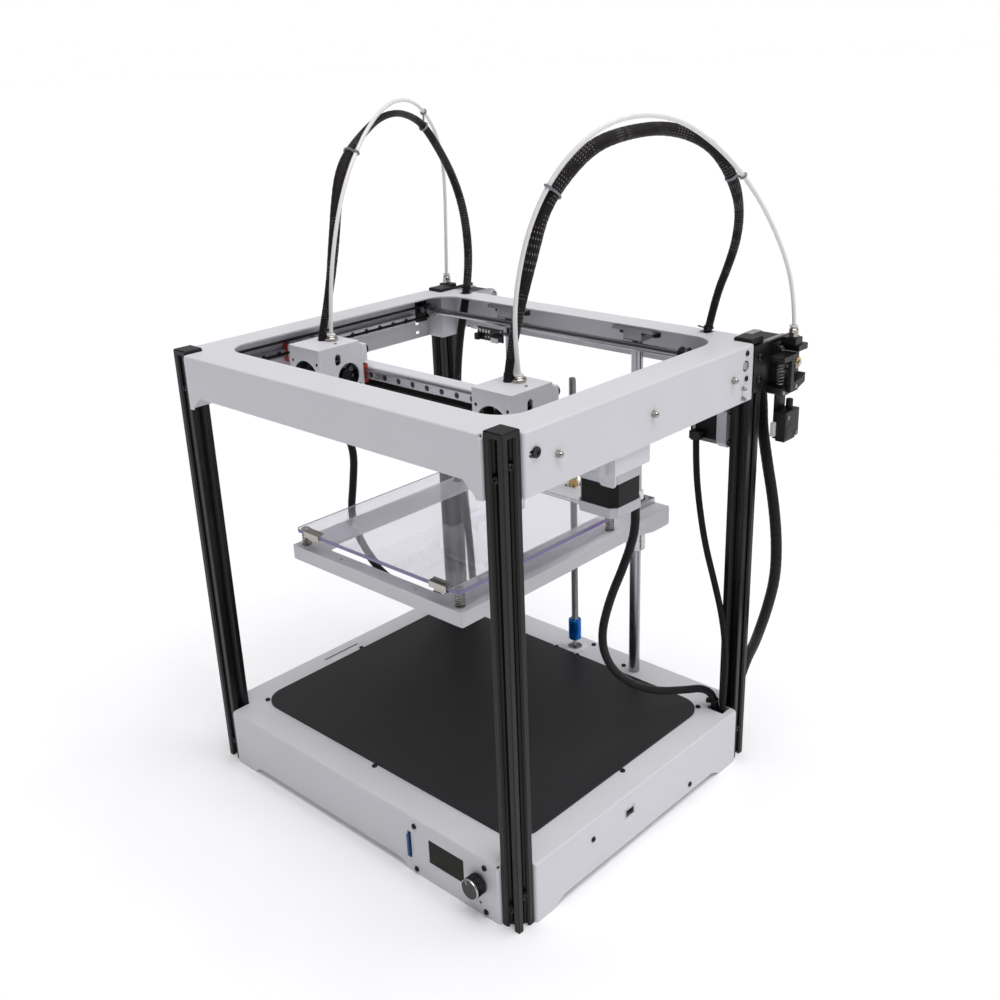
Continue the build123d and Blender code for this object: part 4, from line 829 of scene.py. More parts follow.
def carriage(bm, matrix, mats):
    """Carriage along local Z, rail base at y 0: steel block, plastic ends, red seals."""
    steel, plastic, seal, dark = mats
    block(bm, (-10, 10), (6.7, 10), (-14, 14), 0.5, steel, matrix)
    for x0, x1 in ((-10, -4.85), (4.85, 10)):
        block(bm, (x0, x1), (1.6, 7.6), (-14, 14), 0.4, steel, matrix)
    for end in (-1, 1):
        zs = sorted((end * 14, end * 18.4))
        block(bm, (-9.7, 9.7), (6.75, 9.6), zs, 0.5, plastic, matrix)
        tip = sorted((end * 18.4, end * 20.0))
        block(bm, (-9.7, 9.7), (6.75, 9.6), tip, 0.4, seal, matrix)
        for x0, x1 in ((-9.7, -4.85), (4.85, 9.7)):
            block(bm, (x0, x1), (1.8, 7.2), zs, 0.4, plastic, matrix)
            block(bm, (x0, x1), (1.8, 7.2), tip, 0.4, seal, matrix)
    for x in (-7.5, 7.5):
        for z in (-5, 5):
            place = matrix @ at(x, 10, z) @ turned(-90, "X")
            lathe(bm, [(1.7, 0.0), (1.5, 0.05), (0, 0.04)], place, dark, 16)


# ------------------------------------------------------------------ gantry
def make_gantry():
    bm = bmesh.new()
    for side in (-1, 1):
        turn = Matrix(((0, -side, 0, side * RAIL_X), (0, 0, 1, 149.0), (-side, 0, 0, Y_RAIL_Z), (0, 0, 0, 1)))
        carriage(bm, turn, (0, 1, 2, 3))
    piece("y_carriage_pair", bm, "gantry", [STEEL, BLACK_PLASTIC, RED_SEAL, BLACK_METAL], ("y_carriages",))
    bm = bmesh.new()
    for side in (-1, 1):
        for y in (140, 158):
            for z in (424, 435):
                cap_screw(bm, (side * 203.3, y, z), (-side, 0, 0), 2.4, 1.9)
        for x in (-15.5, 15.5):
            for y in (-15.5, 15.5):
                button_screw(bm, (side * X_MOTOR_X + x, X_MOTOR_Y + y, 389.6), (0, 0, 1), 2.7, 1.1)
    piece("gantry_screws", bm, "gantry", [BLACK_METAL, BLACK_PLASTIC], ())


# ------------------------------------------------------------------ print heads
def impeller(bm, matrix, hub, tip, depth, blades, mat=0):
    """Fan rotor about local Z: a capped hub and swept blades."""
    lathe(bm, [(0, 0), (hub - 0.6, 0), (hub, 0.5), (hub, depth), (hub - 1, depth), (hub - 1, 0.8), (0, 0.8)],
          matrix, mat, 40)
    for n in range(blades):
        part = bmesh.new()
        rows = []
        for step in range(7):
            share = step / 6
            radius = hub - 0.3 + (tip - hub + 0.3) * share
            lean = 2 * math.pi * n / blades + 0.45 * share
            sweep = (0.95 - 0.35 * share) * depth / radius * 1.15
            row = []
            for angle, z in ((lean, 0.25), (lean + sweep * 0.5, depth * 0.42), (lean + sweep, depth - 0.25)):
                row.append(part.verts.new((radius * math.cos(angle), radius * math.sin(angle), z)))
            rows.append(row)
        for low, high in zip(rows, rows[1:]):
            for k in range(2):
                part.faces.new((low[k], low[k + 1], high[k + 1], high[k]))
        bmesh.ops.solidify(part, geom=part.faces[:], thickness=0.5)
        bmesh.ops.recalc_face_normals(part, faces=part.faces)
        merge(bm, part, mat, matrix)


def fan_frame(bm, matrix, size, depth, bore, hub, mat=0):
    """Square axial fan housing about local Z with a round bore, a hub disc and four arms."""
    half = size / 2
    sides = 64
    square = []
    for n in range(sides):
        angle = 2 * math.pi * (n + 0.5) / sides
        reach = min(half / max(abs(math.cos(angle)), abs(math.sin(angle))), half * 1.30)
        square.append((reach * math.cos(angle), reach * math.sin(angle)))
    bored(bm, square, bore, depth, matrix, mat)
    lathe(bm, [(0, depth), (hub, depth), (hub, depth - 1.3), (0, depth - 1.3)], matrix, mat, 40)
    for n in range(4):
        arm = matrix @ turned(45 + 90 * n, "Z")
        block(bm, (hub - 0.5, bore + 0.5), (-1.1, 1.1), (depth - 1.3, depth), 0.2, mat, arm)


def make_head(side):
    x = HEADS[side]
    body = f"head_{side}"
    front = at(x, 91.9, 422.0) @ turned(-90, "X")
    wall_x = x + 23.4 - 1.5
    flank = at(wall_x, 125.5, 421.5) @ turned(-90, "Y")
    bm = bmesh.new()
    fan_frame(bm, front, 42.8, 10.0, 19.5, 9.0)
    fan_frame(bm, flank, 30.0, 8.0, 13.7, 7.0)
    piece(f"{side}_fan_housings", bm, body, [BLACK_PLASTIC], (f"{side}_fan_frames",))
    bm = bmesh.new()
    impeller(bm, front @ at(0, 0, 0.9), 9.5, 18.8, 7.2, 7)
    piece(f"{side}_front_rotor", bm, f"fan_{side}_front", [BLACK_PLASTIC], (f"{side}_front_impeller",))
    bm = bmesh.new()
    impeller(bm, flank @ at(0, 0, 0.9), 6.5, 13.1, 5.4, 7)
    piece(f"{side}_side_rotor", bm, f"fan_{side}_side", [BLACK_PLASTIC], (f"{side}_side_impeller",))

    # back plate with its folded flange, rail carriage, top block, thumb screw and belt clamp
    bm = bmesh.new()
    block(bm, (x - 23.4, x + 23.4), (142.05, 144.9), (391, 452), 0.9, 0)
    block(bm, (x + 2, x + 22.9), (144.8, 151.5), (432, 450), 1.2, 0)
    carriage(bm, Matrix(((0, 0, 1, x), (0, -1, 0, X_RAIL_Y), (1, 0, 0, X_RAIL_Z), (0, 0, 0, 1))), (1, 2, 3, 4))
    knob = aim((x + 17.4, 151.4, 443.5), (0, 1, 0))
    lathe(bm, [(4.2, 0), (5.0, 0.4), (5.0, 2.2), (4.4, 3.0), (0, 3.1)], knob, 2, 28)
    z = 404.5 if side == "right" else 395.5
    block(bm, (x - 9, x + 9), (144.9, 150.5), (z - 3, z + 3), 0.5, 2)
    for dx in (-6, 6):
        cap_screw(bm, (x + dx, 150.4, z), (0, 1, 0), 1.3, 0.5, 4, 2)
    piece(f"{side}_carriage_set", bm, body, [WHITE, STEEL, BLACK_PLASTIC, RED_SEAL, BLACK_METAL],
          (f"{side}_carriage",))

    # hot end: gland, cold end with fins, heater block, nozzle
    bm = bmesh.new()
    nozzle = at(x, NOZZLE_Y, 0)
    fins = [(0, 451), (4.2, 451)]
    for n in range(11):
        low = 434.4 - 3.0 * n
        fins += [(4.0, low + 1.2), (8.9, low + 1.2), (9.0, low + 1.0)]
        fins += [(9.0, low + 0.2), (8.9, low), (4.0, low)]
    lathe(bm, fins + [(4.0, 402), (2.0, 402), (2.0, 396.4)], nozzle, 0, 40)
    block(bm, (x - 8, x + 8), (115, 135), (385, 396.5), 0.5, 0)
    block(bm, (x - 8, x + 8), (120, 142), (440, 446), 0.5, 0)
    lathe(bm, [(3.4, 385.2), (3.6, 384.8), (3.6, 380.6), (3.2, 380.1), (0.7, 376.2), (0, 376)], nozzle, 1, 6)
    # hexagon base, neck and collet of the gland
    prism(bm, polygon(6.9), 1.8, at(x, NOZZLE_Y, 454.5), 2, 0.25)
    lathe(bm, [(6.5, 456.2), (6.6, 456.5), (6.6, 457.6), (6.1, 458.1), (4.9, 458.2), (4.9, 459.0), (4.4, 459.4),
               (2.2, 459.4), (2.1, 458.2)], nozzle, 2, 48)
    lathe(bm, [(4.0, 459.2), (4.3, 459.4), (4.3, 460.9), (3.9, 461.4), (2.2, 461.4), (2.2, 459.5)], nozzle, 5, 36)
    boot = at(x - 8.2, 121.8, 0)
    lathe(bm, [(5.0, 454.5), (5.0, 455.5), (4.6, 456.0), (4.3, 461.8), (3.9, 462.3), (3.0, 462.3)], boot, 3, 36)
    for dx, dy in ((-18.8, 4.0), (14.2, -7.0)):
        cap_screw(bm, (x + dx, NOZZLE_Y + dy, 454.5), (0, 0, 1), 1.5, 0.7, 4, 3)
    piece(f"{side}_hot_end", bm, body, [CAST, BRASS, NICKEL, BLACK_PLASTIC, THREAD, WHITE_PLASTIC],
          (f"{side}_hotend",))

    # screws in the shell
    bm = bmesh.new()
    for dx in (-18.3, 18.3):
        for dz in (-18, 18):
            cap_screw(bm, (x + dx, 91.3, 422 + dz), (0, -1, 0), 1.6, 0.9)
    cap_screw(bm, (x + 23.2, 138.4, 410.8), (1, 0, 0), 1.6, 1.0)
    piece(f"{side}_head_screws", bm, body, [BLACK_METAL, BLACK_PLASTIC], ())


# ------------------------------------------------------------------ bed
def make_bed():
    bm = bmesh.new()
    outline = []
    for cx, cy, first in ((108.5, 52.0, 270), (108.5, 270.5, 0), (-108.5, 270.5, 90), (-108.5, 52.0, 180)):
        for step in range(7):
            angle = math.radians(first + 15 * step)
            outline.append((cx + 5 * math.cos(angle), cy + 5 * math.sin(angle)))
    prism(bm, outline, 4.0, at(0, 0, 279.5), 0, 0.35)
    bm.normal_update()
    for face in bm.faces:
        if abs(face.normal.z) < 0.5:
            face.material_index = 1
    piece("glass_plate", bm, "bed", [GLASS, GLASS_EDGE], ("build_plate",), 20.0)

    bm = bmesh.new()
    for x in (-107.0, 107.0):
        for y in (54.5, 268.5):
            tube(bm, helix((x, y), 4.1, 265.5, 278.7, 5.0), 0.75, 10, 0)
            for z in (265.2, 278.9):
                closed = helix((x, y), 4.1, z, z, 1.0)[:-1]
                tube(bm, closed, 0.7, 10, 0, True)
            place = at(x, y, 0)
            lathe(bm, [(0, 252.5), (1.6, 252.5), (2.0, 253), (2.0, 279.4)], place, 1, 20)
            lathe(bm, [(2.0, 255.4), (6.0, 255.4), (8.0, 256.0), (8.0, 259.4), (6.2, 260.4), (5.0, 263.0),
                       (2.0, 263.1)], place, 2, 36)
            for n in range(12):
                angle = 2 * math.pi * n / 12
                rib = place @ Matrix.Rotation(angle, 4, "Z")
                block(bm, (7.2, 8.5), (-0.8, 0.8), (256.2, 259.2), 0.3, 2, rib)
            lathe(bm, [(0, 283.55), (2.3, 283.55), (2.6, 283.5), (2.6, 279.6)], place, 1, 24)
    piece("levelling_springs", bm, "bed", [NICKEL, STEEL, BLACK_PLASTIC], ("leveling_mounts",))

    bm = bmesh.new()
    for x in (-88.0, 88.0):
        leaf = [(0.0, 277.6), (-1.3, 277.9), (-1.5, 279.0), (-1.5, 284.0), (-0.9, 284.5), (3.6, 284.4),
                (5.2, 285.3), (6.5, 285.2), (5.6, 284.6), (4.4, 283.6), (-0.5, 283.6), (-0.7, 279.4),
                (3.0, 279.3), (3.4, 278.9)]
        outline = [(y + 47.0, z) for y, z in leaf]
        turn = Matrix(((0, 0, 1, x - 11), (1, 0, 0, 0), (0, 1, 0, 0), (0, 0, 0, 1)))
        prism(bm, outline, 22.0, turn, 0, 0.12)
        block(bm, (x - 5.4, x + 5.4), (46.2, 52.0), (275.8, 277.5), 0.4, 0)
    piece("spring_clips", bm, "bed", [NICKEL], ("bed_clips",))

    bm = bmesh.new()
    for x in (-ROD_X, ROD_X):
        place = at(x, ROD_Y, 0)
        lathe(bm, [(6.05, 213.7), (9.9, 213.7), (10.5, 214.3), (10.5, 216.4), (10.3, 216.6), (10.3, 217.6),
                   (10.5, 217.8), (10.5, 265.0)], place, 0, 48)
        half, cut = 15.0, 1.6
        outline = [(-half + cut, -half), (half - cut, -half), (half, -half + cut), (half, half - cut),
                   (half - cut, half), (-half + cut, half), (-half, half - cut), (-half, -half + cut)]
        part = bmesh.new()
        prism(part, outline, 6.0, place @ at(0, 0, 264.7), 0, 0.4)
        merge(bm, part, 0)
        seal = [(10.2, 270.65), (10.0, 270.85), (8.0, 270.85), (7.9, 270.3), (6.4, 270.3), (6.05, 270.6)]
        lathe(bm, seal, place, 2, 48)
        for dx in (-11.0, 11.0):
            for dy in (-11.0, 11.0):
                cap_screw(bm, (x + dx, ROD_Y + dy, 269.6), (0, 0, 1), 2.5, 1.6, 1, 2)
    piece("linear_bearings", bm, "bed", [STEEL, THREAD, BLACK_PLASTIC], ("z_bearings",))

    bm = bmesh.new()
    place = at(0, SCREW_Y, 0)
    lathe(bm, [(4.05, 249.2), (4.8, 249.0), (5.1, 249.3), (5.1, 259.7), (10.7, 259.7), (11, 260.0), (11, 262.9),
               (10.7, 263.2), (5.1, 263.2), (5.1, 273.6), (4.8, 274), (4.05, 273.8)], place, 0, 48)
    for n in range(4):
        angle = math.radians(45 + 90 * n)
        cap_screw(bm, (8 * math.cos(angle), SCREW_Y + 8 * math.sin(angle), 264.7), (0, 0, 1), 1.5, 1.6, 1, 2)
    piece("brass_nut", bm, "bed", [BRASS, THREAD, BLACK_PLASTIC], ("leadscrew_nut",))


def make_lead_screw():
    """Four-start trapezoidal thread of 8 mm lead on an 8 mm screw."""
    bm = bmesh.new()
    part = bmesh.new()
    sides, starts, lead = 32, 4, 8.0
    low, high, step = 87.0, 386.6, 0.5
    rings = []
    count = int((high - low) / step)
    for index in range(count + 1):
        z = low + (high - low) * index / count
        ring = []
        for n in range(sides):
            angle = 2 * math.pi * n / sides
            phase = starts * (angle / (2 * math.pi) - z / lead)
            wave = math.cos(2 * math.pi * phase)
            radius = 3.52 + 0.48 * max(-1.0, min(1.0, 2.0 * wave))
            ring.append(part.verts.new((radius * math.cos(angle), radius * math.sin(angle), z)))
        rings.append(ring)
    for a, b in zip(rings, rings[1:]):
        for n in range(sides):
            after = (n + 1) % sides
            part.faces.new((a[n], a[after], b[after], b[n]))
    part.faces.new(rings[-1])
    part.faces.new(reversed(rings[0]))
    merge(bm, part, 0, at(0, SCREW_Y, 0))
    lathe(bm, [(3.5, 386.4), (3.3, 387.6), (2.9, 388), (0, 388)], at(0, SCREW_Y, 0), 0, 32)
    piece("lead_screw_thread", bm, "screw", [THREAD], ("lead_screw",), 50.0)

    bm = bmesh.new()
    place = at(0, SCREW_Y, 0)
    profile = [(4.0, 99), (6.6, 99), (7.3, 98.3)]
    for n in range(5):
        z = 91.6 - 2.1 * n
        profile += [(7.3, z + 0.35), (5.6, z + 0.3), (5.6, z - 0.3), (7.3, z - 0.35)]
    profile += [(7.3, 74.7), (6.6, 74), (2.6, 74)]
    lathe(bm, profile, place, 0, 48)
    for z in (77.4, 95.6):
        cap_screw(bm, (7.0, SCREW_Y, z), (1, 0, 0), 1.4, 0.4, 1, 1)
        cap_screw(bm, (0, 335.0, z), (0, -1, 0), 1.4, 0.4, 1, 1)
    piece("flexible_coupling", bm, "screw", [BLUE_METAL, BLACK_METAL], ("shaft_coupling",))


# ------------------------------------------------------------------ front panel and base
def make_panel():
    bm = bmesh.new()
    axis = aim((172.0, -4.4, 35.0), (0, -1, 0))
    lathe(bm, [(3.05, 0), (9.8, 0), (10.2, 0.4), (10.2, 1.0), (9.9, 1.3), (3.05, 1.3)], axis, 0, 64)
    bored(bm, toothed(44, 9.75, 10.1), 3.05, 8.9, axis @ at(0, 0, 1.3), 0)
    lathe(bm, [(3.05, 10.1), (9.9, 10.1), (10.1, 10.4), (10.15, 11.2), (9.9, 11.8), (9.5, 12.0), (9.3, 11.8)],
          axis, 1, 64)
    lathe(bm, [(9.35, 11.8), (9.0, 11.75), (0, 11.6)], axis, 0, 64)
    block(bm, (-0.4, 0.4), (4.6, 8.4), (11.6, 11.85), 0.1, 1, axis @ turned(35, "Z"))
    piece("knurled_knob", bm, "knob", [GLOSS_PLASTIC, STEEL], ("control_knob",))

    bm = bmesh.new()
    block(bm, (107.6, 152.4), (-2.6, -2.0), (22.1, 47.9), 0.15, 0)
    piece("display_window", bm, "frame", [SCREEN], ())

    # washer of white plastic round the lead screw's hole
    bm = bmesh.new()
    place = at(0, SCREW_Y, BASE_TOP)
    lathe(bm, [(8.2, 0), (8.2, 0.6), (9.0, 0.9), (14.0, 0.9), (14.6, 0.5), (14.6, 0)], place, 0, 56)
    piece("screw_hole_ring", bm, "frame", [WHITE_PLASTIC], ())


def zip_tie(bm, line, index, radius, mat=0):
    """Cable tie round a line of points at one of them, with its head."""
    frames = ring_frames(line)
    point, one, two = frames[index]
    ahead = one.cross(two)
    band = []
    for n in range(28):
        angle = 2 * math.pi * n / 28
        band.append(point + (one * math.cos(angle) + two * math.sin(angle)) * radius)
    tube(bm, band, 0.9, 8, mat, True)
    turn = Matrix((one, two, ahead)).transposed().to_4x4()
    block(bm, (-2.2, 2.2), (-2.4, 2.4), (-2.0, 2.0), 0.5, mat,
          Matrix.Translation(point + one * (radius + 1.6)) @ turn)
    tail = [point + one * (radius + 1.6) + two * d for d in (2.0, 5.5, 9.0)]
    tube(bm, tail, 0.8, 6, mat)


def nearest(line, height, after=0):
    """Index of the point of a line, from some index on, that is closest to a height."""
    return min(range(after, len(line)), key=lambda i: abs(line[i].z - height))


def make_ties():
    bm = bmesh.new()
    right, left = LINES["harness_right"], LINES["harness_left"]
    top = max(range(len(right)), key=lambda i: right[i].z)
    zip_tie(bm, right, nearest(right, 461.5, top), 4.1)
    top = max(range(len(left)), key=lambda i: left[i].z)
    zip_tie(bm, left, nearest(left, 461.5, top), 5.3)
    cable = LINES["x_motor_cable_right"]
    zip_tie(bm, cable, nearest(cable, 72.0), 4.3)
    piece("top_cable_ties", bm, "frame", [BLACK_PLASTIC], ())


def hose_clip(bm, harness, hose, height, rising, wide, narrow, mat=0):
    """Plastic clip that holds the feed tube beside the harness: two open rings and a bridge."""
    top = max(range(len(harness)), key=lambda i: harness[i].z)
    span = range(0, top) if rising else range(top, len(harness))
    here = min(span, key=lambda i: abs(harness[i].z - height))
    beside = min(range(len(hose)), key=lambda i: (hose[i] - harness[here]).length)
    spots = (here, beside)
    centres = []
    for line, spot, radius in zip((harness, hose), spots, (wide, narrow)):
        point, one, two = ring_frames(line)[spot]
        centres.append(point)
        ring = []
        for n in range(30):
            angle = 2 * math.pi * n / 30
            ring.append(point + (one * math.cos(angle) + two * math.sin(angle)) * (radius + 0.6))
        tube(bm, ring, 1.15, 10, mat, True)
    gap = centres[1] - centres[0]
    ahead = gap.normalized()
    start, end = centres[0] + ahead * (wide + 0.8), centres[1] - ahead * (narrow + 0.8)
    if (end - start).length > 0.5 and (end - start).dot(ahead) > 0:
        tube(bm, [start, (start + end) / 2, end], 1.1, 10, mat)


def make_clips():
    specs = (("right", 608.0, True, 6.4), ("right", 606.0, False, 4.6),
             ("left", 627.0, True, 4.4), ("left", 640.0, False, 4.0))
    for side, height, rising, wide in specs:
        bm = bmesh.new()
        harness, hose = LINES[f"harness_{side}"], LINES[f"bowden_{side}"]
        hose_clip(bm, harness, hose, height, rising, wide, 2.1)
        name = f"{side}_clip_{'front' if rising else 'rear'}"
        obj = piece(name, bm, None, [GREY_PLASTIC], ())
        if rising:
            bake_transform(obj)
        else:
            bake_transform(obj)


# ------------------------------------------------------------------ extruders and sensors
def mirror_to(bm, side):
    """Leaves a mesh on the right, or mirrors it to the left."""
    bmesh.ops.transform(bm, matrix=Matrix.Diagonal((side, 1, 1, 1)), verts=bm.verts)
    if side < 0:
        bmesh.ops.reverse_faces(bm, faces=bm.faces)


def make_extruder(side):
    s = SIDES[side]
    x0 = WALL_X

    def outline_x(points, x_low, x_high, mat, bevel=0.35):
        """Plate in the Y-Z plane from x_low to x_high."""
        turn = Matrix(((0, 0, 1, x_low), (1, 0, 0, 0), (0, 1, 0, 0), (0, 0, 0, 1)))
        prism(bm, points, x_high - x_low, turn, mat, bevel)

    bm = bmesh.new()
    outline_x([(375.2, 410), (377, 409), (415, 409), (417, 411), (417, 449), (415, 451), (377, 451), (375.2, 449)],
              x0, x0 + 6, 0)
    outline_x([(365.5, 405), (372, 402), (396, 403), (411, 408), (411, 416.8), (402, 413), (366, 410.5)],
              x0 + 0.2, x0 + 17, 0, 0.6)
    block(bm, (x0 + 0.2, x0 + 22), (386.2, 403), (443, 449), 0.6, 0)
    block(bm, (x0 + 4, x0 + 20), (383, 396), (448.8, 456), 0.8, 0)
    place = at(FEED_X, FEED_Y, 0)
    prism(bm, polygon(4.9), 4.2, place @ at(0, 0, 456), 1, 0.25)
    lathe(bm, [(4.2, 460.1), (4.4, 460.4), (4.4, 463.4), (3.6, 464.2), (3.5, 466.0)], place, 1, 40)
    lathe(bm, [(3.4, 465.9), (4.4, 466.1), (4.5, 466.6), (4.2, 467.1), (2.2, 467.1), (2.1, 466.0)], place, 4, 36)
    # drive gear with its teeth, clamp hub and set screw
    gear = at(0, 396, 430) @ turned(90, "Y")
    prism(bm, toothed(26, 4.9, 5.5), 6.0, gear @ at(0, 0, x0 + 8), 2, 0.1)
    lathe(bm, [(2.5, x0 + 14), (5.2, x0 + 14), (5.4, x0 + 14.3), (5.4, x0 + 16.6), (5.0, x0 + 17), (2.6, x0 + 17),
               (2.5, x0 + 16.5), (0, x0 + 16.5)], gear, 2, 40)
    lathe(bm, [(2.0, x0 + 17), (2.0, x0 + 22.3), (1.7, x0 + 22.6), (0, x0 + 22.6)],
          at(0, 384.5, 410) @ turned(90, "Y"), 3, 24)
    for y, z in ((411.5, 414.5), (411.5, 445.5), (380.5, 445.5)):
        cap_screw(bm, (x0 + 6, y, z), (1, 0, 0), 2.7, 2.4, 3, 3)
    cap_screw(bm, (x0 + 16.8, 371.5, 406), (1, 0, 0), 2.4, 0.5, 3, 3)
    mirror_to(bm, s)
    piece(f"{side}_extruder_block", bm, "frame", [BLACK_METAL, NICKEL, BRASS, THREAD, WHITE_PLASTIC],
          ("extruder_bodies",) if s > 0 else ())

    bm = bmesh.new()
    outline_x([(374.8, 405.5), (389, 405.5), (389, 413), (381, 414.5), (380.2, 416), (380.2, 442), (374.8, 442)],
              x0 + 17.4, x0 + 21.8, 0, 0.5)
    outline_x([(361, 438), (362.5, 437), (385.6, 437), (385.6, 442.4), (362, 442.4), (361, 441.6)],
              x0 + 7, x0 + 21.6, 0, 0.5)
    bearing = at(0, 383, 430) @ turned(90, "Y")
    lathe(bm, [(1.6, x0 + 11), (4.9, x0 + 11), (5.2, x0 + 11.3), (5.2, x0 + 17.0), (4.9, x0 + 17.4)], bearing, 1, 40)
    lathe(bm, [(1.6, x0 + 10.8), (3.0, x0 + 10.8), (3.0, x0 + 11.1)], bearing, 2, 24)
    cap_screw(bm, (x0 + 21.8, 383, 430), (1, 0, 0), 2.4, 0.8, 2, 2)
    mirror_to(bm, s)
    piece(f"{side}_idler_arm", bm, f"lever_{side}", [BLACK_METAL, STEEL, THREAD], (f"idler_lever_{side}",))

    bm = bmesh.new()
    tube(bm, helix((s * 231.0, 371.0), 3.3, 411.8, 436.4, 8.0), 0.5, 8, 0)
    spring = piece(f"{side}_idler_spring", bm, "frame", [THREAD], ())
    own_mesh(spring)

    # filament sensor on its strip, with a three-way plug
    bm = bmesh.new()
    block(bm, (225, 239), (371.5, 397.5), (358, 386), 1.0, 0)
    block(bm, (227, 237), (374, 395), (355, 358.5), 0.8, 0)
    block(bm, (236.8, 239.4), (374.0, 385.0), (360.5, 372), 0.5, 0)
    lathe(bm, [(3.4, 385.8), (3.4, 394.4), (3.0, 395), (1.3, 395), (1.2, 390)], place, 0, 32)
    block(bm, (222.5, 225), (376, 394), (362, 402.1), 0.5, 0)
    block(bm, (224.8, 229), (367.6, 372), (361, 375), 0.4, 1)
    cap_screw(bm, (239, 376, 380.5), (1, 0, 0), 1.9, 1.0, 2, 2)
    cap_screw(bm, (238.9, 392.5, 361.5), (1, 0, 0), 1.7, 0.8, 2, 2)
    mirror_to(bm, s)
    piece(f"{side}_filament_sensor", bm, "frame", [BLACK_PLASTIC, WHITE_PLASTIC, THREAD],
          ("runout_sensors",) if s > 0 else ())


def make_endstop():
    bm = bmesh.new()
    block(bm, (-116, -78), (319.5, 321.1), (418.5, 433), 0.2, 0)
    block(bm, (-92, -79), (314.4, 319.5), (420, 426.5), 0.3, 1)
    block(bm, (-91, -80), (313.6, 314.1), (419.0, 424.5), 0.1, 3)
    for n in range(4):
        block(bm, (-112.5 + 4.4 * n, -110.3 + 4.4 * n), (318.7, 319.6), (427.0, 430.5), 0.1, 2)
        block(bm, (-112.5 + 4.4 * n, -110.9 + 4.4 * n), (318.9, 319.6), (422.0, 423.6), 0.1, 3)
    block(bm, (-115.6, -109.5), (313.5, 319.5), (419.2, 426.2), 0.4, 4)
    for x, z in ((-113.6, 431), (-80.3, 431)):
        cap_screw(bm, (x, 319.5, z), (0, -1, 0), 1.5, 0.9, 3, 1)
    block(bm, (-110, -98), (321.1, 322.6), (418.6, 432), 0.3, 5)
    block(bm, (-110, -98), (322.0, 364.3), (418.6, 420.1), 0.3, 5)
    block(bm, (-110, -98), (363.0, 364.4), (419.4, 432), 0.3, 5)
    piece("limit_switch_board", bm, "frame", [BOARD, BLACK_PLASTIC, WHITE_PLASTIC, STEEL, BLACK_PLASTIC, CAST],
          ("endstops",))


def make_inlet():
    bm = bmesh.new()
    x = -150.0
    block(bm, (x - 28, x + 28), (366.1, 367.6), (16.5, 51.5), 0.5, 0)
    for low, high in ((-22.5, -20.8), (4.8, 6.6)):
        block(bm, (x + low, x + high), (352, 368.4), (22.4, 45.6), 0.4, 0)
    for low, high in ((22.4, 24.1), (43.9, 45.6)):
        block(bm, (x - 22.5, x + 6.6), (352, 368.4), (low, high), 0.4, 0)
    block(bm, (x - 21, x + 5), (350, 352), (23.5, 44.5), 0.2, 0)
    for pin in (-15, -8, -1):
        block(bm, (x + pin - 1, x + pin + 1), (352, 364), (32, 36), 0.3, 1)
    block(bm, (x + 7.6, x + 22.4), (366.6, 368.2), (22.4, 45.6), 0.5, 0)
    rocker = [(366.5, 24), (369.6, 24.2), (369.4, 25.5), (367.9, 34), (367.3, 43.6), (366.5, 44)]
    turn = Matrix(((0, 0, 1, x + 9), (1, 0, 0, 0), (0, 1, 0, 0), (0, 0, 0, 1)))
    prism(bm, rocker, 12.0, turn, 2, 0.3)
    for dx in (-25.4, 25.4):
        button_screw(bm, (x + dx, 367.6, 34), (0, 1, 0), 1.9, 1.0, 1, 0)
    piece("mains_inlet", bm, "frame", [BLACK_PLASTIC, STEEL, RED_SEAL], ("power_inlet",))


def make_electronics():
    """Shown through the grille, the socket cut-out and from below."""
    bm = bmesh.new()
    block(bm, (110, 214), (105, 205), (34.2, 35.7), 0.2, 0)
    for n in range(6):
        block(bm, (114 + 14 * n, 124 + 14 * n), (190, 202), (35.7, 47), 0.5, 1)
    for n in range(4):
        for k in range(4):
            low = 130 + 16 * n + 2.4 * k
            block(bm, (low, low + 1.2), (120, 129), (36.8, 45), 0.1, 2)
        block(bm, (130 + 16 * n, 139 + 16 * n), (120, 129), (35.7, 36.9), 0.1, 2)
    for x in (115, 209):
        for y in (110, 200):
            lathe(bm, [(3, 11), (3, 34.2), (1.6, 34.3), (0, 34.3)], at(x, y, 0), 3, 6)
    block(bm, (202, 218.2), (148, 149.2), (35.7, 47), 0.1, 4)
    block(bm, (202, 218.2), (162.8, 164), (35.7, 47), 0.1, 4)
    block(bm, (202, 218.2), (148.4, 163.6), (35.7, 36.8), 0.1, 4)
    block(bm, (202, 218.2), (148.4, 163.6), (45.9, 47), 0.1, 4)
    block(bm, (202, 204), (149, 163), (36.5, 46.2), 0.1, 1)
    block(bm, (204, 213), (153.2, 158.8), (39.6, 43.4), 0.3, 1)
    piece("control_boards", bm, "frame", [GREEN_BOARD, BLACK_PLASTIC, CAST, BRASS, STEEL], ())


# ------------------------------------------------------------------ CAD nodes that keep their shape
def dress(node, mat):
    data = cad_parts[node].data
    data.materials.clear()
    data.materials.append(mat)


def dress_frame():
    looks = {
        "corner_posts": ANODISED, "post_caps": BLACK_PLASTIC, "top_frame": WHITE, "base_housing": WHITE,
        "bottom_plate": WHITE_PLATE, "deck_plate": BLACK_SHEET, "electronics": GALVANISED, "z_rods": CHROME,
        "frame_brackets": BLACK_METAL, "gantry_beam": WHITE, "gantry_brackets": WHITE, "bed_frame": WHITE,
        "encoder_shaft": STEEL, "sd_card": BLUE_PLASTIC, "left_head_shell": WHITE, "right_head_shell": WHITE,
    }
    for node, mat in looks.items():
        dress(node, mat)


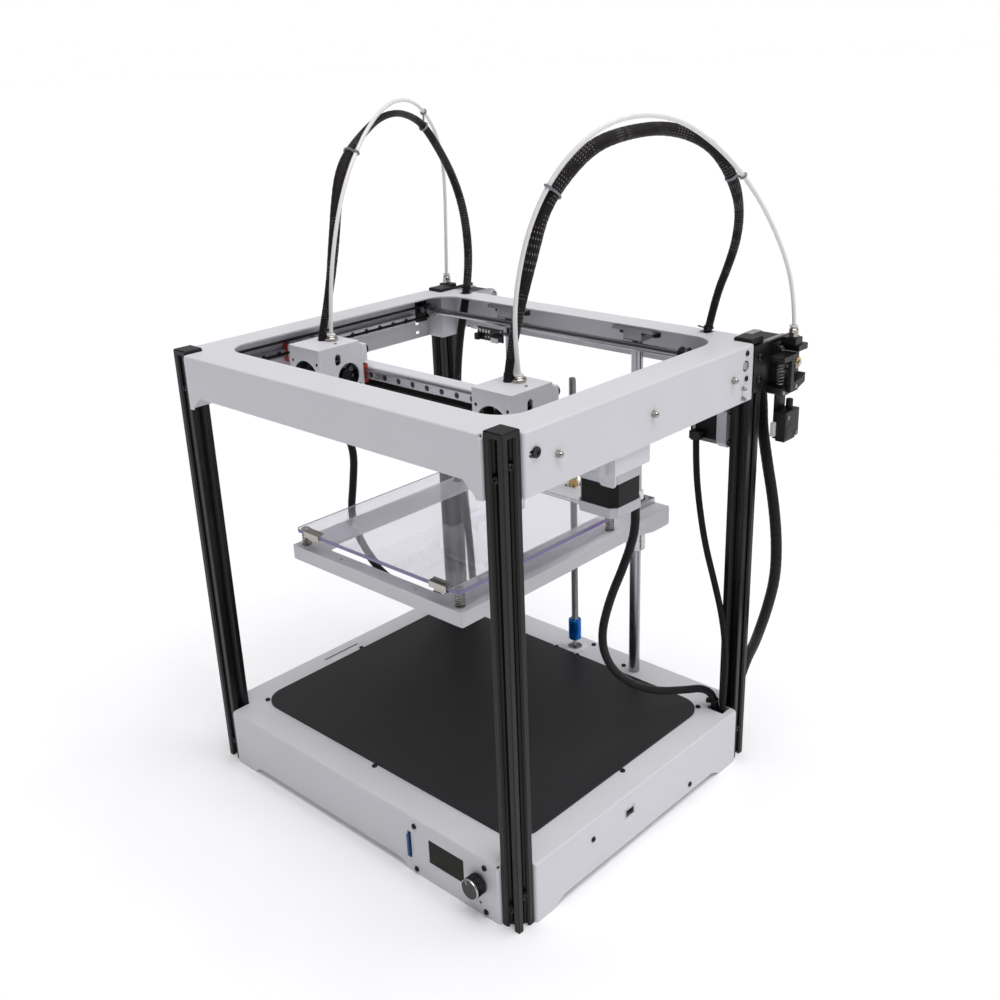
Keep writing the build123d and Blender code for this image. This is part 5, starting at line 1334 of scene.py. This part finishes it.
# ------------------------------------------------------------------ stage
def make_stage():
    bm = bmesh.new()
    bmesh.ops.create_grid(bm, x_segments=1, y_segments=1, size=60.0)
    mesh = bpy.data.meshes.new("floor")
    bm.to_mesh(mesh)
    bm.free()
    floor = bpy.data.objects.new("floor", mesh)
    bpy.context.scene.collection.objects.link(floor)
    paper = finish_of("paper_floor", (0.88, 0.88, 0.90), 0.7, 0.0, 300.0, 0.02, 0.01, specular=0.1)
    shader = paper.node_tree.nodes["Principled BSDF"]
    shader.inputs["Emission Color"].default_value = (1.0, 1.0, 1.0, 1)
    shader.inputs["Emission Strength"].default_value = 0.11
    mesh.materials.append(paper)

    # A white studio: a bright sweep behind the machine, dimmer overhead and on the camera's side.
    world = bpy.data.worlds.new("studio")
    bpy.context.scene.world = world
    world.use_nodes = True
    tree = world.node_tree
    sky = tree.nodes["Background"]
    where = tree.nodes.new("ShaderNodeTexCoord")
    split = tree.nodes.new("ShaderNodeSeparateXYZ")
    tree.links.new(where.outputs["Generated"], split.inputs["Vector"])
    shares = []
    steps = (("Z", (0.08, 0.26), (1.0, 0.36)), ("Y", (-0.35, 0.25), (0.20, 1.0)))
    for axis, (low, high), (start, end) in steps:
        share = tree.nodes.new("ShaderNodeMapRange")
        share.interpolation_type = "SMOOTHSTEP"
        share.inputs["From Min"].default_value = low
        share.inputs["From Max"].default_value = high
        share.inputs["To Min"].default_value = start
        share.inputs["To Max"].default_value = end
        tree.links.new(split.outputs[axis], share.inputs["Value"])
        shares.append(share)
    level = tree.nodes.new("ShaderNodeMath")
    level.operation = "MULTIPLY"
    tree.links.new(shares[0].outputs["Result"], level.inputs[0])
    tree.links.new(shares[1].outputs["Result"], level.inputs[1])
    tree.links.new(level.outputs[0], sky.inputs["Strength"])
    sky.inputs["Color"].default_value = (1.0, 1.0, 1.0, 1)

    data = bpy.data.lights.new("overhead", "SUN")
    data.energy = 2.6
    data.angle = math.radians(50)
    lamp = bpy.data.objects.new("overhead", data)
    lamp.rotation_euler = (0.0, math.radians(11), 0.0)
    bpy.context.scene.collection.objects.link(lamp)
    bpy.context.scene.view_settings.view_transform = "Standard"


make_fasteners()
make_motors()
make_drives()
make_rails()
make_gantry()
for head in HEADS:
    make_head(head)
make_bed()
make_lead_screw()
make_panel()
make_ties()
make_clips()
for side_name in SIDES:
    make_extruder(side_name)
make_endstop()
make_inlet()
make_electronics()
dress_frame()
make_stage()
